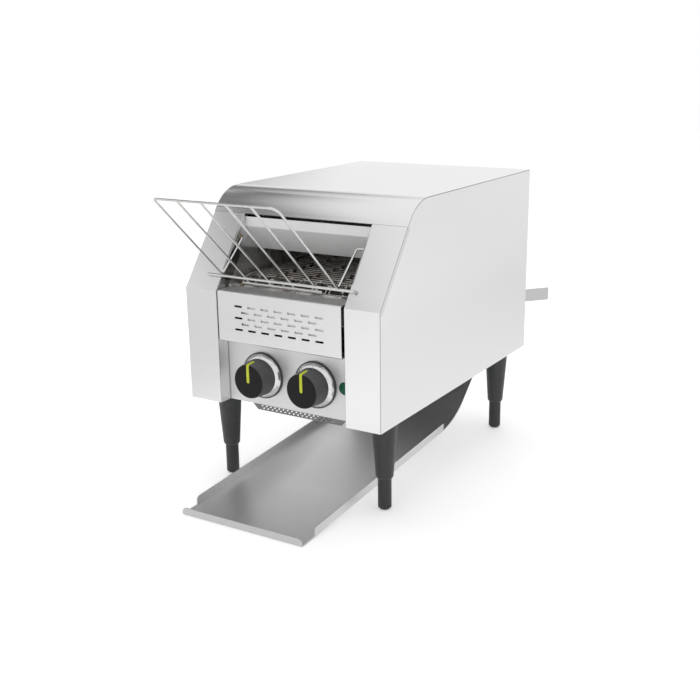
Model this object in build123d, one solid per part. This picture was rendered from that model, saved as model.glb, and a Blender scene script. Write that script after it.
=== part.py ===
"""Countertop conveyor toaster, in millimetres.

+X is the toaster's right as one stands in front of it, -Y is the front where bread
goes in, and +Z is up from the table. The sizes below place everything from the middle
of the casing. The files are written from the middle of the whole footprint instead,
between the rack's front edge and the tips of the wall spacers.
Each function below makes one kind of piece, and each piece is written to its own file.
"""

import math
import os

from build123d import *

# ---- sheet and clearances -----------------------------------------------------------
SHEET = 1.2                 # stainless sheet of the casing
FOLD_RADIUS = 1.1           # outside of a sharp fold
BEND = 2.0                  # usual inner bend of the folded sheets
FIT_GAP = 0.3               # sheet edges beside each other
RUNNING_GAP = 0.06          # radial clearance of a turning shaft in its hole
PRESSED_GAP = 0.05          # radial gap of a wheel keyed to its shaft
SNAP_GAP = 0.1              # neck of the gland or lamp in its hole
BLIND_END = 1.0             # free space past the end of a bolt, stud or shaft
CUT_PAST = 1.0              # how far a cutter runs past the sheet
SAME_PLACE = 0.01           # closer than this counts as the same place

# ---- heights, built up from the table -----------------------------------------------
CASE_BOTTOM = 120.0
KNOB_RISE = 40.3            # middle of the knobs above the casing's underside
DIAL_TO_VENT = 14.5         # top of a dial's rim to the vent panel
VENT_HEIGHT = 65.4
VENT_OVER_KNEE = 1.6        # vent panel above the place where the columns lean back
KNEE_OVER_SHAFTS = 7.5      # that place above the belt's shafts
TUBES_OVER_SHAFTS = 61.5    # upper heaters above the shafts
ROOF_OVER_TUBES = 24.0
WALL_OVER_ROOF = 4.0        # chamber walls above the chamber's roof
ATTIC = 37.0                # casing's top above the chamber walls

# ---- depths, from front to back -----------------------------------------------------
SHAFT_SETBACK = 60.0        # front shaft behind the front face
DROP_SPACE = 54.0           # drop plate behind the rear shaft
REAR_SPACE = 16.0           # casing's back behind the drop plate
RETURN_DEPTH = 20.0         # inward flange beside the opening, and the panel's recess

# ---- casing -------------------------------------------------------------------------
COLUMN_WIDTH = 49.4
SLOPE_ANGLE = 36.6          # degrees, sloping front from upright
HOOD_RADIUS = 60.0          # large bend of the top cover
HOOD_STRAIGHT = 6.6         # top cover's straight edge on the slope, below its bend
HEM_DEPTH = 12.0            # edge of the top cover turned in over the opening
LOUVRE_COUNT = 6
LOUVRE_ROW_COUNT = 3
LOUVRE_GROUPS = (110.0, 200.0)      # lowest row of each group above the underside
LOUVRE_ACROSS = 30.0
LOUVRE_UP = 12.0
LOUVRE_LENGTH = 22.0
LOUVRE_HEIGHT = 3.0
FLOOR_SLOT_COUNT = 5
FLOOR_SLOT_ROW_COUNT = 3
FLOOR_SLOT_FIRST = 100.0    # first row behind the front face
FLOOR_SLOT_BACK = 60.0
FLOOR_SLOT_ACROSS = 30.0
FLOOR_SLOT_LENGTH = 20.0
FLOOR_SLOT_WIDTH = 3.0
GUARD_SETBACK = 1.5         # heat guard behind the seam
GUARD_DROP = 4.0            # its top edge below the seam
GUARD_SKIRT = 12.5          # its upright band
GUARD_BACK = 27.0           # its lower part: how far back and down
GUARD_DOWN = 33.0
GUARD_LIP = 8.0

# ---- vent panel and control panel ---------------------------------------------------
VENT_LEFT_GAP = 1.2
VENT_RIGHT_GAP = 4.4
VENT_RECESS = 1.0
VENT_SHELF_GAP = 7.7        # its top flange to the belt's pitch circle
SLOT_LENGTH = 11.7
SLOT_HEIGHT = 2.6
SLOT_PITCH = 20.1
SLOT_SHIFT = -1.0           # slots off the middle
SLOT_DROP = 17.6            # top row below the panel's top
SLOT_ROW_PITCH = 7.5
SLOT_ROW_COUNT = 5
SLOTS_PER_ROW_COUNT = 7
PANEL_OVERLAP = 9.4         # control panel behind each column flange
PANEL_TUCK = 1.8            # control panel above the vent panel's foot
SKIRT_LEFT_INSET = 36.3     # ends of the skirt inside the opening
SKIRT_RIGHT_INSET = 10.6
SKIRT_DROP = 7.6
SKIRT_CHAMFER = 7.6
SKIRT_SLOT_PITCH = 6.6
SKIRT_SLOT_WIDTH = 2.6
SKIRT_SLOT_HEIGHT = 2.3
SKIRT_SLOT_LEAN = 1.6
SKIRT_SLOT_FIRST = 12.2     # first slot from the skirt's left end
SKIRT_SLOT_MARGIN = 30.4    # both ends together, left without slots
SKIRT_ROW_SHIFT = 2.6
SKIRT_ROW_PITCH = 3.0
SKIRT_ROW_TOP = 0.9         # first row below the casing's underside

# ---- knobs, dials and lamp ----------------------------------------------------------
KNOB_SPACING = 80.0
KNOB_BASE_RADIUS = 24.0
KNOB_FACE_RADIUS = 21.6
KNOB_DEPTH = 30.0
KNOB_EDGE = 1.4
KNOB_GAP = 0.5
KNOB_RIM = 2.0              # straight edge round the knob's base
KNOB_WAIST = 0.4            # face edge behind its chamfer
POINTER_WIDTH = 3.4
POINTER_PROUD = 0.5
POINTER_SIDE = 14.0
POINTER_LOW = 1.5           # pointer's start below the knob's middle
POINTER_SINK = 4.0          # pointer's root inside the knob
POINTER_ROUND = 0.6
DIAL_RADIUS = 28.0
DIAL_THICKNESS = 2.4
DIAL_CHAMFER = 0.8
DIAL_RIM = 1.4              # dark ring round the dial: width and thickness
SPINDLE_RADIUS = 3.0
SPINDLE_LENGTH = 38.0
SPINDLE_IN_KNOB = 18.0
SPINDLE_HOLE = 5.0
LAMP_GAP = 4.4              # dial's rim to the lamp
LAMP_MARGIN = 4.0           # lamp to the column
LAMP_RISE = 1.0             # lamp above the knobs' middle
LAMP_RADIUS = 8.4
LAMP_NECK = 7.0
LAMP_DOME = 4.5
LAMP_BODY_LENGTH = 24.0
CONTROL_BODY = 38.0
CONTROL_BODY_DEPTH = 30.0
CONTROL_CORNER = 4.0

# ---- legs ---------------------------------------------------------------------------
LEG_INSET_X = 23.5
LEG_INSET_Y = 50.0
LEG_TOP_RADIUS = 16.4
LEG_STEP_RADIUS = 11.2
LEG_STEP_HEIGHT = 42.0
LEG_STEP_EDGE = 1.5
LEG_STEP_RISE = 2.5
LEG_FLANGE_RADIUS = 18.5
LEG_FLANGE = 3.0
FOOT_RADIUS = 8.7
FOOT_CHAMFER = 3.0
FOOT_STUD_RADIUS = 4.0
FOOT_STUD_LENGTH = 26.0
BOLT_RADIUS = 4.0
BOLT_HEAD_RADIUS = 7.4
BOLT_HEAD = 5.3
BOLT_LENGTH = 24.0
BOLT_HOLE = 4.2

# ---- toast tray and chute -----------------------------------------------------------
TRAY_MARGIN = 4.3           # tray inside the opening, each side
TRAY_SHEET = 1.2
TRAY_REACH = 91.5           # tray in front of the casing
TRAY_LIP_HEIGHT = 10.0
TRAY_ANGLE = 3.8            # degrees
CHUTE_RADIUS = 125.0
CHUTE_ANGLE = 40.0          # degrees
CHUTE_UNDER_CASE = 12.0     # top of the chute below the casing
CHUTE_END = 17.8            # top of the chute in front of the drop plate
CHUTE_FLANGE = 12.0
FLANGE_SETBACK = 26.5       # side flange behind the lip
FLANGE_OVERRUN = 6.0        # side flange past the start of the chute's curve
FLANGE_HEIGHT = 9.6
FLANGE_CORNER = 5.0
LIP_CORNER = 6.0
LIP_BEND = 0.6
CHUTE_TOP_BEND = 4.0
FLANGE_SINK = 0.6           # side flange starts inside the tray's sheet
REST_INSET = 20.3           # ledge's ends inside the tray's sides
REST_LEDGE = 13.0
REST_FOOT = 10.0
REST_BEND = 2.5
REST_GAP = 2.0              # ledge's upright behind the tray's flange

# ---- wire belt and shafts -----------------------------------------------------------
BELT_PITCH = 10.0
BELT_TEETH = 12
BELT_RUN_COUNT = 31         # whole pitches between the two shafts
BELT_MARGIN = 6.6           # belt's edge to the column
WIRE = 2.0                  # thickness of a belt strand
SHAFT_RADIUS = 6.0
JOURNAL_RADIUS = 5.0
SPROCKET_COUNT = 4          # on each shaft
SPROCKET_THICKNESS = 3.0
SEAT_GAP = 0.35             # strand to sprocket root
ARM_GAP = 1.5               # end of a strand's arm to the next strand's middle
TOOTH_TIP = 1.2             # tooth above the pitch circle
TOOTH_ROOT_HALF = 2.6
TOOTH_TIP_HALF = 1.5
SHOULDER_GAP = 1.6          # shaft shoulder to the column's plane
SHAFT_END = 4.0             # journal past the outside of the wall
BUSH_RADIUS = 8.0
BUSH_FLANGE_RADIUS = 11.0
BUSH_FLANGE = 1.5
BUSH_INSIDE = 2.0

# ---- drive chain and gear motor -----------------------------------------------------
CHAIN_PITCH = 6.35
CHAIN_TEETH = 12
CHAIN_RUN_COUNT = 15
CHAIN_STANDOFF = 23.0       # chain's middle outside the chamber wall
CHAIN_ANGLE = 30.0          # degrees from straight down, toward the back
ROLLER_RADIUS = 1.65
ROLLER_WIDTH = 3.2
PLATE_THICKNESS = 0.8
PLATE_HEIGHT = 5.0
PLATE_END = 2.2             # link plate past its pins
CHAIN_SPROCKET_THICKNESS = 2.6
CHAIN_SEAT_GAP = 0.25
CHAIN_TOOTH_TIP = 1.1
CHAIN_TOOTH_ROOT_HALF = 1.1
CHAIN_TOOTH_TIP_HALF = 0.5
HUB_RADIUS = 8.0
HUB_LENGTH = 6.0
MOTOR_SHAFT_RADIUS = 4.0
GEARBOX_WIDTH = 56.0
GEARBOX_HEIGHT = 64.0
GEARBOX_DEPTH = 28.0
GEARBOX_CORNER = 8.0
GEARBOX_SOCKET = 10.0       # closed end of the gearbox behind its shaft
MOTOR_RADIUS = 23.0
MOTOR_LENGTH = 38.0
MOTOR_DROP = 6.0            # motor can below the gearbox's shaft
WALL_CLEARANCE = 2.0        # hole in the wall round the motor's shaft

# ---- chamber ------------------------------------------------------------------------
WALL_SETBACK = 3.0          # wall behind the front skin
TUBE_COUNT = 3
TUBE_TO_SHAFT = 65.0        # outermost lower heaters inside the two shafts
TUBE_SHIFT = 25.0           # upper heaters behind the lower ones
TUBE_RADIUS = 5.0
TUBE_BORE = 4.0
TUBE_STANDOUT = 13.0        # tube's end outside the wall
TUBE_GAP = 0.2              # glass in the wall
CAP_RADIUS = 8.0
CAP_LENGTH = 16.0
CAP_GAP = 0.1               # glass in its socket
COIL_RADIUS = 2.4
COIL_INSET = 6.0            # heating coil behind the end of its tube
ROOF_FRONT_MARGIN = 28.0    # roof past the first and last upper heater
ROOF_REAR_MARGIN = 40.0
ROOF_DROP = 26.0
ROOF_FRONT_LEAN = 10.0
ROOF_REAR_LEAN = 22.0
SHELF_DROP = 34.5           # crumb shelf below the shafts
SHELF_FRONT = 18.0          # its lip in front of the front shaft
SHELF_LIP = 10.0
SHELF_LIP_LEAN = 8.0
SHELF_BEND = 4.0
GUIDE_SHEET = 1.0
GUIDE_FOOT_IN = 14.0
GUIDE_FOOT_GAP = 0.5
GUIDE_BEND_RISE = 48.0      # where the drop plate starts to curve, above the underside
GUIDE_BEND = 60.0
GUIDE_TOP_DROP = 10.0       # its lip below the chamber's roof
GUIDE_LIP_Y = 6.0
GUIDE_LIP_Z = 8.0
WINDOW_MARGIN = 4.0         # window in the base behind the drop plate's face
WINDOW_LENGTH = 138.0
WINDOW_INSET = 2.6          # window inside the opening, each side
BULKHEAD_GAP = 8.0          # bulkhead in front of the window
BULKHEAD_FOOT = 12.0

# ---- feed rack ----------------------------------------------------------------------
RACK_LEFT_GAP = 2.6         # outermost wires to the columns
RACK_RIGHT_GAP = 14.6
RACK_WIRE_COUNT = 6
RACK_WIRE_RADIUS = 1.4
RACK_ROD_RADIUS = 1.75
RACK_ROD_LEFT = 20.4        # cross rod past each side of the opening
RACK_ROD_RIGHT = 10.4
RACK_ROD_UP = 21.55         # cross rod up the slope from the knee
RACK_ROD_GAP = 0.3
RACK_PIVOT_UP = 81.6        # pivot up the slope from the knee, and behind it
RACK_PIVOT_DEPTH = 9.2
RACK_REACH = 118.2          # upper edge in front of and above the bend
RACK_RISE = 110.3
RACK_LOW_IN = 9.3           # lower ends behind and below the bend
RACK_LOW_DOWN = 8.2
RACK_LOW_OVERHANG = 7.0
RACK_LOW_WELD = 0.6
RACK_VEE_RISE = 1.2
RACK_CROSSING = 1.0
RACK_PIN_END = 3.0          # pivot pin past the outside of the wall
RACK_BENDS = (3.0, 5.0, 4.0, 10.0, 5.0, 3.0)
RACK_INNER_BEND = 6.0
RACK_BUSH_WALL = 2.6
RACK_BUSH_FLANGE = 2.0

# ---- back ---------------------------------------------------------------------------
SPACER_RISE = 78.0          # top edge above the underside
SPACER_HEIGHT = 19.3
SPACER_SHEET = 1.5
SPACER_FOOT_IN = 72.0       # foot and bend inside the casing's side, tip outside it
SPACER_BEND_IN = 51.0
SPACER_TIP_OUT = 9.5
SPACER_REACH = 70.0
SPACER_BEND = 4.0
GLAND_IN = 25.0             # inside the casing's left side
GLAND_RISE = 30.0
GLAND_RADIUS = 9.0
GLAND_BORE = 4.2
GLAND_INSIDE = 8.0
GLAND_FLANGE = 4.0
GLAND_FLANGE_DEPTH = 6.0
GLAND_TAPER = 2.0
GLAND_LENGTH = 20.0
BLOCK_LEFT = 80.0           # terminal block left of the middle
BLOCK_LENGTH = 50.0
BLOCK_WIDTH = 22.0
BLOCK_GAP = 8.0             # in front of the bulkhead's foot
BLOCK_HEIGHT = 24.0
BLOCK_HOLE_COUNT = 3
BLOCK_HOLE_FIRST = 10.0     # first hole from the block's left end
BLOCK_HOLE_PITCH = 15.0
BLOCK_HOLE_RADIUS = 3.0
BLOCK_HOLE_FLOOR = 12.0
SCREW_IN = 10.0             # screws inside the back's edges
SCREW_DOWN = 15.0
SCREW_UP = 20.0
SCREW_PROFILE = ((3.6, 0.0), (3.2, 1.4), (1.8, 2.2), (0.0, 2.2))

# ---- derived places -----------------------------------------------------------------
DIAL_RIM_RADIUS = DIAL_RADIUS + DIAL_RIM
BELT_RADIUS = BELT_PITCH / (2 * math.sin(math.pi / BELT_TEETH))
BELT_RUN = BELT_RUN_COUNT * BELT_PITCH
CHAIN_RADIUS = CHAIN_PITCH / (2 * math.sin(math.pi / CHAIN_TEETH))
CHAIN_RUN = CHAIN_RUN_COUNT * CHAIN_PITCH

FLOOR_TOP = CASE_BOTTOM + SHEET
KNOB_HEIGHT = CASE_BOTTOM + KNOB_RISE
VENT_BOTTOM = KNOB_HEIGHT + DIAL_RIM_RADIUS + DIAL_TO_VENT
VENT_TOP = VENT_BOTTOM + VENT_HEIGHT
KNEE_HEIGHT = VENT_TOP - VENT_OVER_KNEE
SHAFT_Z = KNEE_HEIGHT - KNEE_OVER_SHAFTS
UPPER_TUBE_Z = SHAFT_Z + TUBES_OVER_SHAFTS
ROOF_Z = UPPER_TUBE_Z + ROOF_OVER_TUBES
WALL_TOP = ROOF_Z + WALL_OVER_ROOF
CASE_TOP = WALL_TOP + ATTIC
SLOPE_SIN = math.sin(math.radians(SLOPE_ANGLE))
SLOPE_COS = math.cos(math.radians(SLOPE_ANGLE))
HOOD_REACH = HOOD_RADIUS * math.tan(math.radians(90 - SLOPE_ANGLE) / 2)
SEAM_HEIGHT = CASE_TOP - (HOOD_REACH + HOOD_STRAIGHT) * SLOPE_COS
PANEL_TOP = VENT_BOTTOM + PANEL_TUCK
SHELF_Z = SHAFT_Z - SHELF_DROP
CHUTE_TOP = CASE_BOTTOM - CHUTE_UNDER_CASE

CASE_DEPTH = SHAFT_SETBACK + BELT_RUN + DROP_SPACE + REAR_SPACE
FRONT = -CASE_DEPTH / 2
REAR = CASE_DEPTH / 2
PANEL_Y = FRONT + RETURN_DEPTH
KNOB_BACK = PANEL_Y - DIAL_THICKNESS - KNOB_GAP
KNOB_FRONT = KNOB_BACK - KNOB_DEPTH
SEAM_Y = FRONT + (SEAM_HEIGHT - KNEE_HEIGHT) * SLOPE_SIN / SLOPE_COS
FRONT_SHAFT = (FRONT + SHAFT_SETBACK, SHAFT_Z)
REAR_SHAFT = (FRONT_SHAFT[0] + BELT_RUN, SHAFT_Z)
DROP_Y = REAR_SHAFT[0] + DROP_SPACE                 # face that the toast drops along
WALL_REAR = DROP_Y + WINDOW_MARGIN
WINDOW_FRONT = WALL_REAR - WINDOW_LENGTH
BULKHEAD_Y = WINDOW_FRONT - BULKHEAD_GAP
TRAY_LIP_Y = FRONT - TRAY_REACH
MOTOR_SHAFT = (
    FRONT_SHAFT[0] + CHAIN_RUN * math.sin(math.radians(CHAIN_ANGLE)),
    SHAFT_Z - CHAIN_RUN * math.cos(math.radians(CHAIN_ANGLE)),
)

KNOB_X = KNOB_SPACING / 2
LAMP_X = KNOB_X + DIAL_RIM_RADIUS + LAMP_GAP + LAMP_RADIUS
LAMP_Z = KNOB_HEIGHT + LAMP_RISE
OPENING_HALF = LAMP_X + LAMP_RADIUS + LAMP_MARGIN   # half the clear width of the opening
HALF_WIDTH = OPENING_HALF + COLUMN_WIDTH
FLANGE_OUT = OPENING_HALF + SHEET                   # outer face of the inward flange
WALL_OUT = FLANGE_OUT + SHEET                       # outer face of the chamber wall
BELT_HALF = OPENING_HALF - BELT_MARGIN
LINK_STEP = (BELT_HALF - WIRE / 2) / 2              # between the forward links of a strand
TRAY_HALF = OPENING_HALF - TRAY_MARGIN
TUBE_HALF_LENGTH = WALL_OUT + TUBE_STANDOUT
CHAIN_X = WALL_OUT + CHAIN_STANDOFF
DRIVE_END = CHAIN_X + CHAIN_SPROCKET_THICKNESS / 2 + HUB_LENGTH + BLIND_END
RACK_LEFT = RACK_LEFT_GAP - OPENING_HALF
RACK_RIGHT = OPENING_HALF - RACK_RIGHT_GAP
LEG_X = HALF_WIDTH - LEG_INSET_X
LEG_Y = REAR - LEG_INSET_Y


# ---- small helpers ------------------------------------------------------------------
def left_normal(start, end):
    """Unit vector to the left of the line from start to end."""
    du, dv = end[0] - start[0], end[1] - start[1]
    length = math.hypot(du, dv)
    return (-dv / length, du / length)


def offset_path(points, distance):
    """The points of a path moved to its left, with mitred corners."""
    normals = [left_normal(a, b) for a, b in zip(points, points[1:])]
    befores = [normals[0], *normals]
    afters = [*normals, normals[-1]]
    moved = []
    for (u, v), before, after in zip(points, befores, afters):
        opening = 1 + before[0] * after[0] + before[1] * after[1]
        du = distance * (before[0] + after[0]) / opening
        dv = distance * (before[1] + after[1]) / opening
        moved.append((u + du, v + dv))
    return moved


def turns_left(a, b, c):
    """+1 where the path a, b, c turns to its left, and -1 where it turns right."""
    cross = (b[0] - a[0]) * (c[1] - b[1]) - (b[1] - a[1]) * (c[0] - b[0])
    return 1 if cross > 0 else -1


def in_plane(plane, points):
    return [plane.from_local_coords((u, v, 0)) for u, v in points]


def plate(points, low, high, plane=Plane.YZ):
    """A flat plate with a straight-sided outline, between two distances from a plane."""
    base = plane.offset(low)
    outline = Polyline(*in_plane(base, points), close=True)
    return extrude(make_face(outline), amount=high - low, dir=plane.z_dir)


def bent_sheet(points, radii, thickness, low, high, plane=Plane.YZ):
    """A folded sheet: its profile follows points, with its thickness to the left."""
    base = plane.offset(low)
    far = offset_path(points, thickness)
    far_radii = []
    for i, radius in enumerate(radii):
        turn = turns_left(points[i], points[i + 1], points[i + 2])
        far_radii.append(radius - thickness * turn)
    near_edge = FilletPolyline(*in_plane(base, points), radius=radii)
    far_edge = FilletPolyline(*in_plane(base, far), radius=far_radii)
    start = Line(near_edge @ 0, far_edge @ 0)
    end = Line(near_edge @ 1, far_edge @ 1)
    face = make_face(near_edge + end + far_edge + start)
    return extrude(face, amount=high - low, dir=plane.z_dir)


def spread(middle, size):
    """The two ends of a size laid out evenly about its middle."""
    return (middle - size / 2, middle + size / 2)


def row(count, pitch, middle=0.0):
    """Evenly spaced places about a middle."""
    return [middle + (i - (count - 1) / 2) * pitch for i in range(count)]


def up_slope(distance, depth=0.0):
    """A point (y, z) up the sloping front from its foot, and behind its face."""
    y = FRONT + distance * SLOPE_SIN + depth * SLOPE_COS
    return (y, KNEE_HEIGHT + distance * SLOPE_COS - depth * SLOPE_SIN)


def rod_x(center, radius, low, high):
    """A round bar along X through center = (y, z)."""
    disc = Plane(origin=(low, *center), x_dir=(0, 1, 0), z_dir=(1, 0, 0)) * Circle(radius)
    return extrude(disc, amount=high - low)


def rod_y(center, radius, low, high):
    """A round bar along Y through center = (x, z)."""
    x, z = center
    disc = Plane(origin=(x, low, z), x_dir=(1, 0, 0), z_dir=(0, 1, 0)) * Circle(radius)
    return extrude(disc, amount=high - low)


def rod_z(center, radius, low, high):
    """A round bar along Z through center = (x, y)."""
    disc = Plane.XY.offset(low) * Pos(*center) * Circle(radius)
    return extrude(disc, amount=high - low)


def block(x, y, z):
    """A box between two values on each axis."""
    size = (x[1] - x[0], y[1] - y[0], z[1] - z[0])
    middle = ((x[0] + x[1]) / 2, (y[0] + y[1]) / 2, (z[0] + z[1]) / 2)
    return Pos(*middle) * Box(*size)


def mirrored(shape):
    """The same piece on the other side of the toaster."""
    return mirror(shape, about=Plane.YZ)


def turned(profile, axis_point, axis_direction):
    """A solid of revolution about an axis; profile is a list of (radius, along)."""
    plane = Plane(origin=axis_point, x_dir=side_of(axis_direction), z_dir=axis_direction)
    section = Plane(origin=axis_point, x_dir=plane.x_dir, z_dir=-plane.y_dir)
    outline = Polyline(*in_plane(section, profile), close=True)
    return revolve(make_face(outline), axis=Axis(axis_point, axis_direction))


def side_of(direction):
    """A direction square to an axis that lies along X, Y or Z."""
    return (0, 1, 0) if abs(direction[0]) > 0.5 else (1, 0, 0)


def group(solids):
    """Several separate solids kept in one file."""
    return Compound(children=[Solid(s.solid().wrapped) for s in solids])


# ---- casing panels ------------------------------------------------------------------
def front_line(inset, bottom=CASE_BOTTOM):
    """The front's profile (y, z), moved inward: up the column and back along the slope."""
    line = [(FRONT, bottom), (FRONT, KNEE_HEIGHT), (SEAM_Y, SEAM_HEIGHT)]
    return offset_path(line, -inset)


def hood_corner():
    """Where the slope would meet the flat top without its bend."""
    return (SEAM_Y + (HOOD_REACH + HOOD_STRAIGHT) * SLOPE_SIN, CASE_TOP)


def top_cover():
    path = [(SEAM_Y, SEAM_HEIGHT), hood_corner(), (REAR, CASE_TOP)]
    cover = bent_sheet(path, [HOOD_RADIUS], -SHEET, -HALF_WIDTH, HALF_WIDTH)
    hem_half = OPENING_HALF - FIT_GAP
    hem = block(
        (-hem_half, hem_half),
        (SEAM_Y + SHEET, SEAM_Y + HEM_DEPTH),
        (SEAM_HEIGHT, SEAM_HEIGHT + SHEET),
    )
    return cover + hem


def behind_front(inset):
    """Outline of everything behind the front's profile, moved inward by inset."""
    bottom, knee, seam = front_line(inset, CASE_BOTTOM - CUT_PAST)
    top = (seam[0] + (seam[0] - knee[0]), seam[1] + (seam[1] - knee[1]))
    rear = REAR + CUT_PAST
    return [bottom, knee, top, (rear, top[1]), (rear, bottom[1])]


def above_seam():
    """Outline of the space above the seam, square to the slope."""
    outer, inner = front_line(-CUT_PAST)[2], front_line(2 * RETURN_DEPTH)[2]
    rise = (SEAM_Y - FRONT, SEAM_HEIGHT - KNEE_HEIGHT)
    return [outer, inner] + [(p[0] + rise[0], p[1] + rise[1]) for p in (inner, outer)]


def side_panel():
    """The right side, folded round the front into a column and in beside the opening."""
    outline = [*front_line(0), hood_corner(), (REAR, CASE_TOP), (REAR, CASE_BOTTOM)]
    panel = plate(outline, OPENING_HALF, HALF_WIDTH)
    hood_edges = [e for e in panel.edges().filter_by(Axis.X) if is_hood_bend(e)]
    panel = fillet(hood_edges, HOOD_RADIUS)
    panel = fillet([e for e in panel.edges() if is_front_fold(e)], FOLD_RADIUS)
    inside = HALF_WIDTH - SHEET
    panel -= plate(behind_front(SHEET), FLANGE_OUT, inside)
    panel -= plate(behind_front(RETURN_DEPTH), OPENING_HALF - CUT_PAST, inside)
    panel -= plate(above_seam(), OPENING_HALF - CUT_PAST, inside)
    panel -= rod_x(rack_pivot(), rack_hole_radius(), 0, inside)
    return panel - top_cover()


def is_hood_bend(edge):
    """True for the edge where the slope meets the flat top."""
    corner = hood_corner()
    start = edge @ 0
    return math.hypot(start.Y - corner[0], start.Z - corner[1]) < SAME_PLACE


def is_front_fold(edge):
    """True for the folds that run up the column and along the slope."""
    start, end = edge @ 0, edge @ 1
    if edge.geom_type != GeomType.LINE or abs(start.X - end.X) > SAME_PLACE:
        return False
    return all(abs(front_distance(point)) < SAME_PLACE for point in (start, end))


def front_distance(point):
    """How far a point lies behind the front's profile."""
    if point.Z <= KNEE_HEIGHT:
        return point.Y - FRONT
    across = left_normal((FRONT, KNEE_HEIGHT), (SEAM_Y, SEAM_HEIGHT))
    return -((point.Y - FRONT) * across[0] + (point.Z - KNEE_HEIGHT) * across[1])


def back_panel():
    inside = HALF_WIDTH - SHEET
    panel = block((-inside, inside), (REAR - SHEET, REAR), (FLOOR_TOP, CASE_TOP - SHEET))
    through = (REAR - 2 * SHEET, REAR + SHEET)
    for x in row(LOUVRE_COUNT, LOUVRE_ACROSS):
        for lowest in LOUVRE_GROUPS:
            for i in range(LOUVRE_ROW_COUNT):
                z = CASE_BOTTOM + lowest + i * LOUVRE_UP
                panel -= block(spread(x, LOUVRE_LENGTH), through, spread(z, LOUVRE_HEIGHT))
    return panel - rod_y(gland_place(), GLAND_RADIUS, *through)


def base_plate():
    inside = HALF_WIDTH - SHEET
    base = block((-inside, inside), (PANEL_Y + SHEET, REAR), (CASE_BOTTOM, FLOOR_TOP))
    through = (CASE_BOTTOM - SHEET, FLOOR_TOP + SHEET)
    base -= block(spread(0, 2 * (OPENING_HALF - WINDOW_INSET)), (WINDOW_FRONT, WALL_REAR), through)
    for place in leg_places():
        base -= rod_z(place, BOLT_HOLE, *through)
    for x in row(FLOOR_SLOT_COUNT, FLOOR_SLOT_ACROSS):
        for i in range(FLOOR_SLOT_ROW_COUNT):
            y = FRONT + FLOOR_SLOT_FIRST + i * FLOOR_SLOT_BACK
            base -= block(spread(x, FLOOR_SLOT_LENGTH), spread(y, FLOOR_SLOT_WIDTH), through)
    return base


def vent_panel():
    """Slotted front panel with a shelf turned in at its top and a flange at its foot."""
    left, right = -OPENING_HALF + VENT_LEFT_GAP, OPENING_HALF - VENT_RIGHT_GAP
    face = FRONT + VENT_RECESS
    path = [
        (PANEL_Y, VENT_BOTTOM),
        (face, VENT_BOTTOM),
        (face, VENT_TOP),
        (FRONT_SHAFT[0] - BELT_RADIUS - VENT_SHELF_GAP, VENT_TOP),
    ]
    panel = bent_sheet(path, [FOLD_RADIUS + SHEET] * 2, -SHEET, left, right)
    through = (face - SHEET, face + 2 * SHEET)
    for i in range(SLOT_ROW_COUNT):
        z = VENT_TOP - SLOT_DROP - i * SLOT_ROW_PITCH
        for x in row(SLOTS_PER_ROW_COUNT - i % 2, SLOT_PITCH, SLOT_SHIFT):
            panel -= block(spread(x, SLOT_LENGTH), through, spread(z, SLOT_HEIGHT))
    return panel


def control_panel():
    """Recessed panel of the knobs, with a slotted skirt hanging under the casing."""
    half = OPENING_HALF + PANEL_OVERLAP
    left, right = SKIRT_LEFT_INSET - OPENING_HALF, OPENING_HALF - SKIRT_RIGHT_INSET
    outline = [
        (-half, CASE_BOTTOM),
        (left, CASE_BOTTOM),
        (left + SKIRT_CHAMFER, CASE_BOTTOM - SKIRT_DROP),
        (right - SKIRT_CHAMFER, CASE_BOTTOM - SKIRT_DROP),
        (right, CASE_BOTTOM),
        (half, CASE_BOTTOM),
        (half, PANEL_TOP),
        (-half, PANEL_TOP),
    ]
    back = PANEL_Y + SHEET
    panel = plate(outline, -back, -PANEL_Y, Plane.XZ)
    through = (PANEL_Y - SHEET, back + SHEET)
    for x in knob_places():
        panel -= rod_y((x, KNOB_HEIGHT), SPINDLE_HOLE, *through)
    panel -= rod_y((LAMP_X, LAMP_Z), LAMP_NECK, *through)
    count = int((right - left - SKIRT_SLOT_MARGIN) / SKIRT_SLOT_PITCH) + 1
    slots = []
    for i in range(count):
        x = left + SKIRT_SLOT_FIRST + i * SKIRT_SLOT_PITCH
        upper = CASE_BOTTOM - SKIRT_ROW_TOP
        slots.append(leaning_slot(x, upper))
        slots.append(leaning_slot(x + SKIRT_ROW_SHIFT, upper - SKIRT_ROW_PITCH))
    return panel - slots


def leaning_slot(x, top):
    """Cutter for one see-through slot of the skirt, leaning to the right as it rises."""
    foot = top - SKIRT_SLOT_HEIGHT
    outline = [
        (x, foot),
        (x + SKIRT_SLOT_WIDTH, foot),
        (x + SKIRT_SLOT_WIDTH + SKIRT_SLOT_LEAN, top),
        (x + SKIRT_SLOT_LEAN, top),
    ]
    return plate(outline, -PANEL_Y - 2 * SHEET, -PANEL_Y + SHEET, Plane.XZ)


def heat_guard():
    """Bent guard hanging behind the top of the opening."""
    half = OPENING_HALF - FIT_GAP
    face, top = SEAM_Y + GUARD_SETBACK, SEAM_HEIGHT - GUARD_DROP
    foot_y, foot_z = face + GUARD_BACK, top - GUARD_SKIRT - GUARD_DOWN
    path = [
        (face, top),
        (face, top - GUARD_SKIRT),
        (foot_y, foot_z),
        (foot_y + GUARD_LIP, foot_z),
    ]
    return bent_sheet(path, [BEND, BEND], SHEET, -half, half)


# ---- legs and feet ------------------------------------------------------------------
def leg_places():
    return [(x, y) for y in (-LEG_Y, LEG_Y) for x in (-LEG_X, LEG_X)]


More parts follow.
